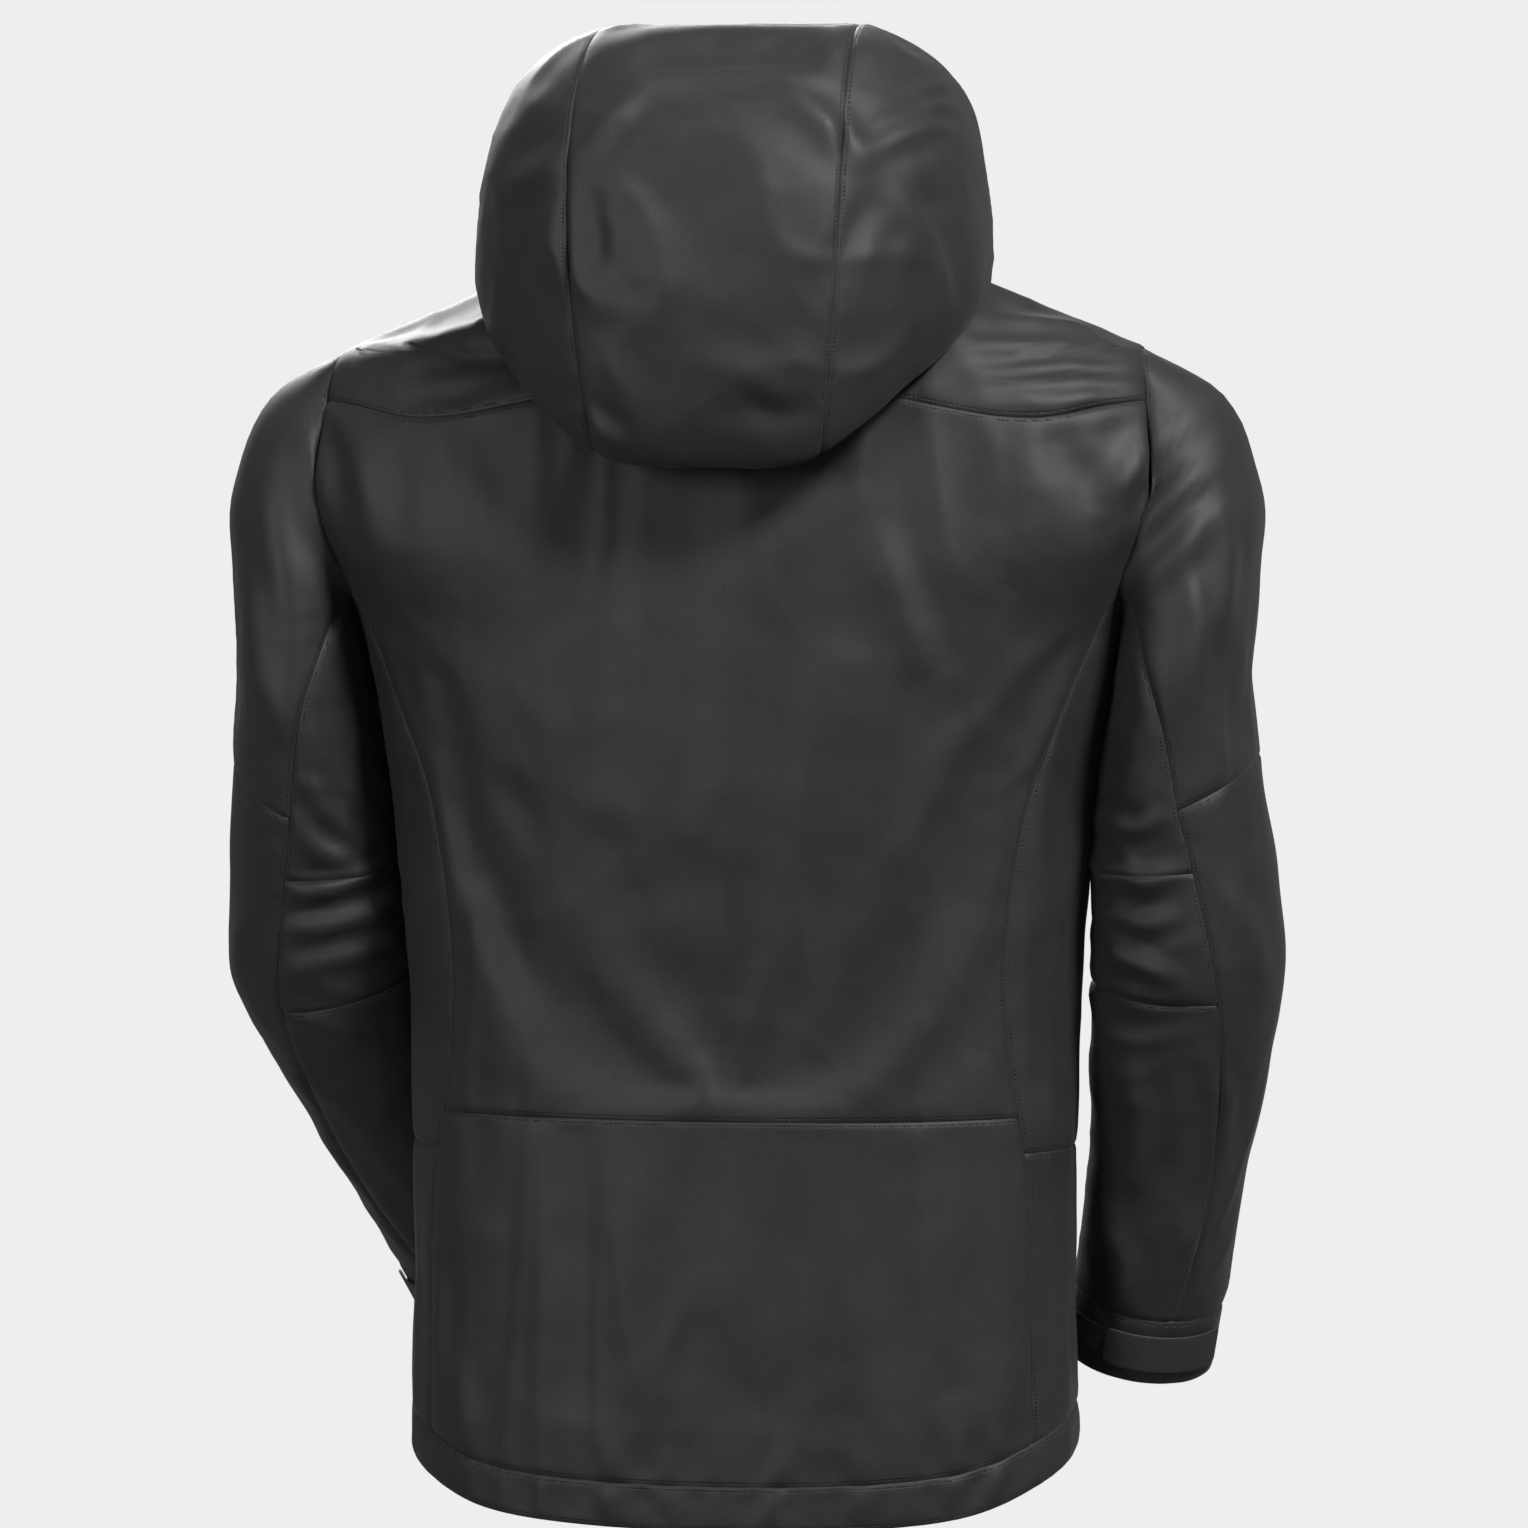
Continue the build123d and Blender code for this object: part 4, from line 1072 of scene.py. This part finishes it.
def sleeve_loops(rows):
    """Loops of points down the sleeve, on the wearer's left side."""
    loops = [resample(armhole_loop(), SLEEVE_COLUMNS - 1, closed=True)]
    centres = np.array([r[:3] for r in rows])
    directions = np.gradient(centres, axis=0)
    for index, (x, y, z, out, back) in enumerate(rows):
        if index < len(SECTION_TILT):
            tilt = math.radians(SECTION_TILT[index])
            u = np.array([math.sin(tilt), 0, math.cos(tilt)])
            w = np.array([0.0, 1.0, 0.0])
        else:
            d = directions[index] / np.linalg.norm(directions[index])
            u = np.array([1.0, 0, 0]) - d * d[0]
            u /= np.linalg.norm(u)
            w = np.cross(u, d)
            w *= np.sign(w[1])
        turn = np.linspace(0, 2 * math.pi, 361)[:-1]
        loop = (np.array([x, y, z]) + out * np.cos(turn)[:, None] * u
                + back * np.sin(turn)[:, None] * w)
        loops.append(resample(loop, SLEEVE_COLUMNS - 1, closed=True))
    return np.array(loops)


def sleeve_surface(rows, fractions, lengths):
    """Points on the sleeve at shares round it and distances down it."""
    loops = sleeve_loops(rows)
    down = distances(loops.mean(axis=1))
    count = loops.shape[1]
    fine = np.linspace(0, down[-1], 481)
    flat = smooth(down, loops.reshape(len(loops), -1), fine).reshape(len(fine), count, 3)
    flat = np.concatenate([flat, flat[:, :1]], axis=1)
    lengths = np.asarray(lengths, float)
    lengths = lengths[:, None] if lengths.ndim == 1 else lengths
    fractions, lengths = np.broadcast_arrays(fractions, lengths)
    row = np.clip(lengths / down[-1], 0, 1) * (len(fine) - 1)
    at = (fractions % 1.0) * count
    j = np.clip(np.floor(row).astype(int), 0, len(fine) - 2)
    k = np.clip(np.floor(at).astype(int), 0, count - 1)
    v, u = (row - j)[..., None], (at - k)[..., None]
    above = flat[j, k] * (1 - u) + flat[j, k + 1] * u
    below = flat[j + 1, k] * (1 - u) + flat[j + 1, k + 1] * u
    return above * (1 - v) + below * v, down[-1]


# distance down the sleeve, and the long seams' share of the way round from its outer middle
BACK_SEAM = [(0, 0.43), (70, 0.37), (140, 0.28), (230, 0.235), (300, 0.2), (380, 0.165),
             (480, 0.155), (560, 0.2)]
ELBOW_DIP = 34.0                 # how much lower the elbow's seam is at the sleeve's long seams
CUFF = 44.0                      # the cuff's length


def sleeve_grid(rows, first, last, outer, seams):
    """One half of a sleeve, outer or inner, between two distances down it."""
    across = spaced(215.0)[None, :]
    share = spaced(last - first, CELL, "t" in seams, "b" in seams)[:, None]
    dip = ELBOW_DIP * np.abs(2 * across - 1) ** 1.3 if outer else 0 * across
    top = first + (dip if first > 0 else 0)
    bottom = last + (dip if first == 0 else 0)
    lengths = top + (bottom - top) * share
    edge = curve_value(BACK_SEAM, lengths)
    if outer:
        fractions = (1.0 - edge) + 2 * edge * across
    else:
        fractions = edge + (1.0 - 2 * edge) * across
    return sleeve_surface(rows, fractions, lengths)[0]


def sleeve_length(rows):
    """Distance from the armhole to the cuff's end along the sleeve's middle."""
    return sleeve_surface(rows, np.zeros((2, 1)), np.array([0.0, 1.0]))[1]


def sleeves():
    """Both sleeves: upper and under panels, elbow and forearm panels, and cuffs."""
    for (side, word), rows in zip(SIDES, (LEFT_SLEEVE, RIGHT_SLEEVE)):
        mirror = np.array([side, 1, 1])
        total = sleeve_length(rows)
        cuff = total - CUFF
        down = distances(sleeve_loops(rows).mean(axis=1))
        elbow_seam = down[5] - 8.0
        elbow_split = down[6]
        under_seam = down[7] + 12.0
        upper = f"{word}_upper_arm"
        fore = f"{word}_forearm"
        cap = ("torso", upper, (side * 0.239, 0, -0.239), (side * 0.302, 0, -0.302))
        bend = (upper, fore, tuple(np.array(rows[5][:3]) * mirror * MM),
                tuple(np.array(rows[7][:3]) * mirror * MM))

        def core(first, last):
            """The middle of the sleeve between two distances down it."""
            return sleeve_surface(rows, np.linspace(0, 1, 25)[None, :-1].repeat(9, axis=0),
                                  np.linspace(first, last, 9))[0].mean(axis=(0, 1)) * mirror

        for name, node, first, last, outer, seams, moves in (
            ("upper_sleeve_cloth", "upper_sleeve", 0.0, elbow_seam, True, "tblr", cap),
            ("under_sleeve_cloth", "under_sleeve", 0.0, elbow_split, False, "tlr", cap),
            ("elbow_under_cloth", "elbow_panel", elbow_split, under_seam, False, "blr", bend),
            ("elbow_cloth", "forearm_panel", elbow_seam, cuff, True, "tblr", bend),
            ("forearm_under_cloth", "forearm_under_panel", under_seam, cuff, False, "tblr", fore),
        ):
            grid = sleeve_grid(rows, first, last, outer, seams)
            add_cloth(f"{word}_{name}", grid * mirror, f"{word}_{node}", core(first, last),
                      moves, seams=seams, looseness=1.0, tucks="t" if first == 0 else "")
        lengths = cuff + (total - cuff) * spaced(CUFF, 3.0)
        fractions = np.tile(np.linspace(0, 1, 96), (len(lengths), 1))
        band = sleeve_surface(rows, fractions, lengths)[0] * mirror
        patch = Patch(f"{word}_cuff_cloth", band, core(cuff, total), seams="tb", strength=0.5)
        sew_on(patch.build(SHELL, TRIM, 2.4), f"{word}_cuff", fore)


# ------------------------------------------------------------------ hem and collar
def hem():
    """The hem's doubled channel, open at the zip."""
    gap = float(front_angle(ZIP_GAP, HEM_LEVEL)) + math.pi / 2
    angle = np.linspace(-math.pi / 2 + gap, 3 * math.pi / 2 - gap, 420)
    z = hem_height(torso_point(angle, HEM_LEVEL)[:, 1])
    grid = np.array([torso_point(angle, z + HEM_BAND * (1 - share))
                     for share in spaced(HEM_BAND, 3.0)])
    patch = Patch("hem_cloth", grid, TORSO_MIDDLE, seams="tb", depth=0.7)
    sew_on(patch.build(SHELL, SHELL, 3.2), "hem_channel", "torso")


def collar():
    """The stand-up collar inside the hood, and the soft guard inside it at the chin."""
    _, half_width, behind, *_ = TORSO[0]
    gap = math.asin(ZIP_GAP / half_width)
    angle = np.linspace(-math.pi / 2 + gap, 3 * math.pi / 2 - gap, 180)
    rows = []
    for share in spaced(COLLAR_TOP - NECK_TOP, 3.0):
        z = COLLAR_TOP + (NECK_TOP - COLLAR_TOP) * share
        grow = 5.0 * (z - NECK_TOP) / (COLLAR_TOP - NECK_TOP)
        depth = np.where(np.sin(angle) > 0, behind + grow, NECK_FRONT - FRONT_LEAN * z)
        rows.append(np.stack([(half_width + grow) * np.cos(angle), depth * np.sin(angle),
                              np.full(angle.shape, z)], axis=1))
    grid = np.array(rows)
    patch = Patch("collar_cloth", grid, (0, 0, 30), seams="tb", strength=0.4)
    sew_on(patch.build(SHELL, BACKER, 2.2), "collar", "torso")
    for side, word in SIDES:
        keep = np.abs(angle - (-math.pi / 2 if side > 0 else 3 * math.pi / 2)) < 0.75
        inner = grid[2:-3][:, keep] * np.array([0.965, 0.965, 1])
        guard = Patch(f"chin_guard_{word}_cloth", inner, (0, 0, 30), strength=0.1)
        sew_on(guard.build(BACKER, BACKER, 1.4, "lining_fabric"),
               "chin_guard" if side > 0 else None, "torso")


# ------------------------------------------------------------------ small soft pieces
def cad_mesh(node):
    """The mesh of a CAD node."""
    found = frame["nodes"][node]
    return (found if hasattr(found, "data") else bpy.data.objects[node]).data


def corners(node):
    """A CAD node's points at rest, in millimetres."""
    mesh = cad_mesh(node)
    points = np.zeros(len(mesh.vertices) * 3, np.float32)
    mesh.vertices.foreach_get("co", points)
    return points.reshape(-1, 3).astype(float) / MM


def declare(piece, node, body, width, length, slot):
    """A small sheet that stands for a CAD node."""
    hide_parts(node)
    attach(piece, body)


def cuff_strap(name, node, rows, side, body, lift, thickness, width, material, slot):
    """A strap or patch that follows the cuff where its CAD node lies."""
    mirror = np.array([side, 1, 1])
    total = sleeve_length(rows)
    share = np.linspace(0, 1, 241)[:-1]
    middle = total - CUFF / 2
    ring = sleeve_surface(rows, share[None, :], np.array([middle]))[0][0] * mirror
    solid = corners(node)
    hit = np.linalg.norm(ring[:, None] - solid[None], axis=2).argmin(axis=0)
    if np.ptp(hit) > len(share) / 2:
        hit = np.where(hit < len(share) / 2, hit + len(share), hit)
    first, last = hit.min() / 240.0, hit.max() / 240.0
    columns = np.linspace(first, last, 40)
    lengths = middle + width * (np.linspace(0, 1, 11) - 0.5)
    ends = np.minimum(columns - first, last - columns) / (last - first) * 14.0
    pinch = np.sqrt(1 - (1 - np.clip(ends, 0, 1)) ** 2) * 0.25 + 0.75    # rounds the corners
    lines = sleeve_surface(rows, columns[None, :], lengths)[0]
    centre = sleeve_surface(rows, columns[None, :], np.array([middle]))[0]
    grid = (centre + (lines - centre) * pinch[:, None]) * mirror
    patch = Patch(name, grid, ring.mean(axis=0), seams="", strength=0.0)
    out = normals(grid) * (-1.0 if patch.flip else 1.0)
    patch.grid = grid + out * lift
    piece = patch.build(material, material, thickness, slot)
    soften(piece, 0.5)
    length = np.linalg.norm(np.diff(grid[5], axis=0), axis=1).sum()
    declare(piece, node, body, width, length, slot)


def soften(piece, width):
    """Round the edges of a thick strap."""
    bevel = piece.modifiers.new("soft edge", "BEVEL")
    bevel.width = width * MM
    bevel.segments = 2
    bevel.limit_method = "ANGLE"


def zip_teeth(name, *nodes):
    """The coils of one zip: small rounded turns, staggered, down its two halves."""
    solid = np.concatenate([corners(node) for node in nodes])
    centre = solid.mean(axis=0)
    axes = np.linalg.svd(solid - centre, full_matrices=False)[2]
    axes[0] *= -np.sign(axes[0][2])
    axes[2] *= -np.sign(axes[2][1])
    local = (solid - centre) @ axes.T
    low, high = local.min(axis=0), local.max(axis=0)
    middle = (low[1] + high[1]) / 2
    face = high[2] - 0.4
    points, faces = [], []
    for side in (1, -1):
        for down in np.arange(low[0] + 7.0 + 0.6 * side, high[0] - 4.0, 2.4):
            for level_out, shrink in ((-0.3, 0.0), (0.1, 0.05), (0.3, 0.35)):
                for a, b in ((0, 0), (1, 0), (1, 1), (0, 1)):
                    reach = middle + side * (0.85 + shrink if a == 0 else 2.6 - shrink)
                    along = down + (0.75 - shrink) * (2 * b - 1)
                    points.append(centre + along * axes[0] + reach * axes[1]
                                  + (face + level_out) * axes[2])
            first = len(points) - 12
            for ring in (0, 4):
                for k in range(4):
                    n = (k + 1) % 4
                    faces.append((first + ring + k, first + ring + n, first + ring + 4 + n,
                                  first + ring + 4 + k))
            faces.append((first + 8, first + 9, first + 10, first + 11))
    piece = make_mesh(name, points, faces)
    piece.data.materials.append(PLASTIC)
    tidy = bmesh.new()
    tidy.from_mesh(piece.data)
    bmesh.ops.recalc_face_normals(tidy, faces=tidy.faces)
    tidy.to_mesh(piece.data)
    tidy.free()
    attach(piece, "torso")


def thin_piece(name, node, grid, inside, looks, thickness, size, slot):
    """A flat piece without seams on a grid of points: size, its flat width and length, is not used.
    """
    patch = Patch(name, grid, inside, seams="", strength=0.0)
    declare(patch.build(looks, looks, thickness, slot), node, "torso", *size, slot)


def storm_flap():
    """The flap behind the main zip, slightly wavy."""
    solid = corners("inner_storm_flap")
    low, high = solid.min(axis=0), solid.max(axis=0)
    z, x = np.meshgrid(np.linspace(high[2], low[2], 130), np.linspace(low[0], high[0], 9),
                       indexing="ij")
    y = -(NECK_FRONT - FRONT_LEAN * z) + 6.6 + 0.35 * np.sin(z / 37.0) * (x / 18.0)
    thin_piece("storm_flap_cloth", "inner_storm_flap", np.stack([x, y, z], axis=-1),
               (0, 300, -400), TRIM, 1.1, (high[0] - low[0], high[2] - low[2] + 2),
               "lining_fabric")


def pocket_bags():
    """Both hand pockets' bags, which hang behind the front panels."""
    top, bottom, inner, outer = -421.0, -689.0, 41.0, 160.0
    for side, word in SIDES:
        z, share = np.meshgrid(np.linspace(top, bottom, 50), np.linspace(0, 1, 26), indexing="ij")
        edge = outer + 5.0 * (top - z) / (top - bottom)
        x = side * (inner + (edge - inner - 1.0) * share)
        shell = torso_point(front_angle(np.abs(x), z), z) * np.array([side, 1, 1])
        flat = shell * np.array([1, 1, 0])
        inset = shell - flat / np.linalg.norm(flat, axis=-1, keepdims=True) * 12.0
        inset[..., 1] += 0.8 * wander(inset, 45.0, 11)
        thin_piece(f"{word}_pocket_bag_cloth", f"{word}_hand_pocket_bag", inset, TORSO_MIDDLE,
                   BACKER, 0.8, (140.0, 270.0), "lining_fabric")


def hanger_loop():
    """The loop at the back of the neck: a strap with two turned-down ends."""
    bend = 4.0                       # radius of its turns
    end, outer, low, z = 31.5, 27.5, 64.7, -9.0
    turn = np.linspace(0, math.pi / 2, 7)
    path = [(-end, 62.4, z)]
    path += [(-outer - bend * math.cos(t), low + bend * math.sin(t), z) for t in turn]
    path += [(x, low + bend, z) for x in np.linspace(-24, 24, 13)]
    path += [(outer + bend * math.sin(t), low + bend * math.cos(t), z) for t in turn]
    path = np.array(path + [(end, 62.4, z)])
    path[:, 2] -= 1.6 * np.cos(path[:, 0] / 34.0 * math.pi / 2)
    out = np.gradient(path, axis=0)
    out = np.stack([-out[:, 1], out[:, 0], out[:, 2] * 0], axis=1)
    loop = sweep("hanger_loop_strap", path, out, rounded(13.0, 1.8, 0.8), TRIM)
    declare(loop, "hanger_loop", "torso", 14.0, 80.0, "trim_fabric")


def size_label():
    """The blank label under the hanger loop, curling away at its lower end."""
    z, x = np.meshgrid(np.linspace(1.5, -35.5, 24), np.linspace(-17.5, 17.5, 18), indexing="ij")
    y = 71.5 - 0.9 * np.clip((-z - 8.0) / 28.0, 0, 1) ** 2 + 0.2 * np.sin(x / 7.0)
    thin_piece("size_label_cloth", "size_label", np.stack([x, y, z], axis=-1), (0, 300, 0),
               LABEL, 0.5, (36.0, 38.0), "label_fabric")


def small_pieces():
    """The storm flap, pocket bags, hanger loop, size label, zip coils and cuff straps."""
    storm_flap()
    pocket_bags()
    hanger_loop()
    size_label()
    zip_teeth("main_zip_coils", "main_zip_left_half", "main_zip_right_half")
    for (side, word), rows in zip(SIDES, (LEFT_SLEEVE, RIGHT_SLEEVE)):
        zip_teeth(f"{word}_pocket_zip_coils", f"{word}_pocket_zip_chain")
        cuff_strap(f"{word}_cuff_patch_pile", f"{word}_cuff_loop_patch", rows, side,
                   f"{word}_forearm", 0.9, 1.2, 21.0, PILE, "trim_fabric")
        cuff_strap(f"{word}_cuff_tab_strap", f"{word}_cuff_tab", rows, side,
                   f"{word}_cuff_tab", 3.4, 1.6, 25.0, RUBBER, "rubber_trim")


# ------------------------------------------------------------------ CAD nodes that stay
def dress_nodes():
    """Materials for the CAD nodes that are shown as they are."""
    finishes = {
        "slider_metal": ENAMEL, "rubber_trim": RUBBER, "zip_tape": ZIP, "lock_plastic": PLASTIC,
        "cord_fabric": CORD, "trim_fabric": PILE, "label_fabric": LABEL, "lining_fabric": BACKER,
        "shell_fabric": SHELL,
    }
    for part in frame["record"]["subparts"]:
        mesh = cad_mesh(part["node"])
        mesh.materials.clear()
        mesh.materials.append(finishes[part["material_slot"]])


# ------------------------------------------------------------------ stage
def stage():
    """A pale floor that sweeps up behind, soft lights and the camera."""
    pale, _, _, surface = shader("pale floor", (0.0, 0.0, 0.0), 1.0)
    surface.inputs["Emission Color"].default_value = (0.855, 0.855, 0.855, 1)
    surface.inputs["Emission Strength"].default_value = 1.0
    surface.inputs["Specular IOR Level"].default_value = 0.0
    floor_z, radius, rise = -930.0, 40000.0, 12000.0
    profile = [(0.0, floor_z), (20000.0, floor_z)]
    for turn in np.linspace(0, math.pi / 2, 14):
        profile.append((radius - rise + rise * math.sin(turn),
                        floor_z + rise * (1 - math.cos(turn))))
    ring = 96
    points = [(r * math.cos(2 * math.pi * k / ring), r * math.sin(2 * math.pi * k / ring), z)
              for r, z in profile[1:] for k in range(ring)]
    faces = [tuple(range(ring))]
    for row in range(len(profile) - 2):
        for k in range(ring):
            n = (k + 1) % ring
            faces.append((row * ring + k, (row + 1) * ring + k, (row + 1) * ring + n,
                          row * ring + n))
    floor = make_mesh("floor", points, faces)
    floor.data.materials.append(pale)
    floor.visible_glossy = False
    floor.visible_diffuse = False
    floor.visible_shadow = False

    def light(name, place, aim, size, power):
        """A square soft light."""
        data = bpy.data.lights.new(name, "AREA")
        data.size = size
        data.energy = power
        lamp = bpy.data.objects.new(name, data)
        lamp.location = place
        lamp.rotation_euler = (Vector(aim) - Vector(place)).to_track_quat("-Z", "Y").to_euler()
        scene.collection.objects.link(lamp)

    light("key", (-2.2, 1.9, 2.3), (0, 0, -0.1), 0.8, 190)
    light("fill", (2.2, 3.3, 0.5), (0, 0, -0.3), 1.2, 60)
    light("front", (1.2, -3.2, 1.4), (0, 0, -0.3), 1.4, 120)
    light("top", (-0.9, 0.9, 3.0), (0, 0, -0.2), 1.0, 30)
    world = bpy.data.worlds.new("studio")
    scene.world = world
    world.use_nodes = True
    world.node_tree.nodes["Background"].inputs["Color"].default_value = (1.0, 1.0, 1.0, 1)
    world.node_tree.nodes["Background"].inputs["Strength"].default_value = 0.22

    data = bpy.data.cameras.new("camera")
    camera = bpy.data.objects.new("camera", data)
    scene.collection.objects.link(camera)
    aim = Vector((-0.013, 0.0, -0.322))
    lift = math.radians(3.0)
    distance, field = 4.2, 0.978     # the camera's distance and the width it sees there
    away = Vector((-math.sin(YAW) * math.cos(lift), math.cos(YAW) * math.cos(lift), math.sin(lift)))
    camera.location = aim + away * distance
    camera.rotation_euler = (aim - camera.location).to_track_quat("-Z", "Y").to_euler()
    data.sensor_width = 36.0
    data.lens = data.sensor_width * distance / field
    scene.camera = camera
    scene.view_settings.view_transform = "Standard"


torso_panels()
hood_panels()
sleeves()
loosen([patch for patch, *_ in cloths])
build_cloths()
hood_edge()
hem()
collar()
small_pieces()
dress_nodes()
stage()
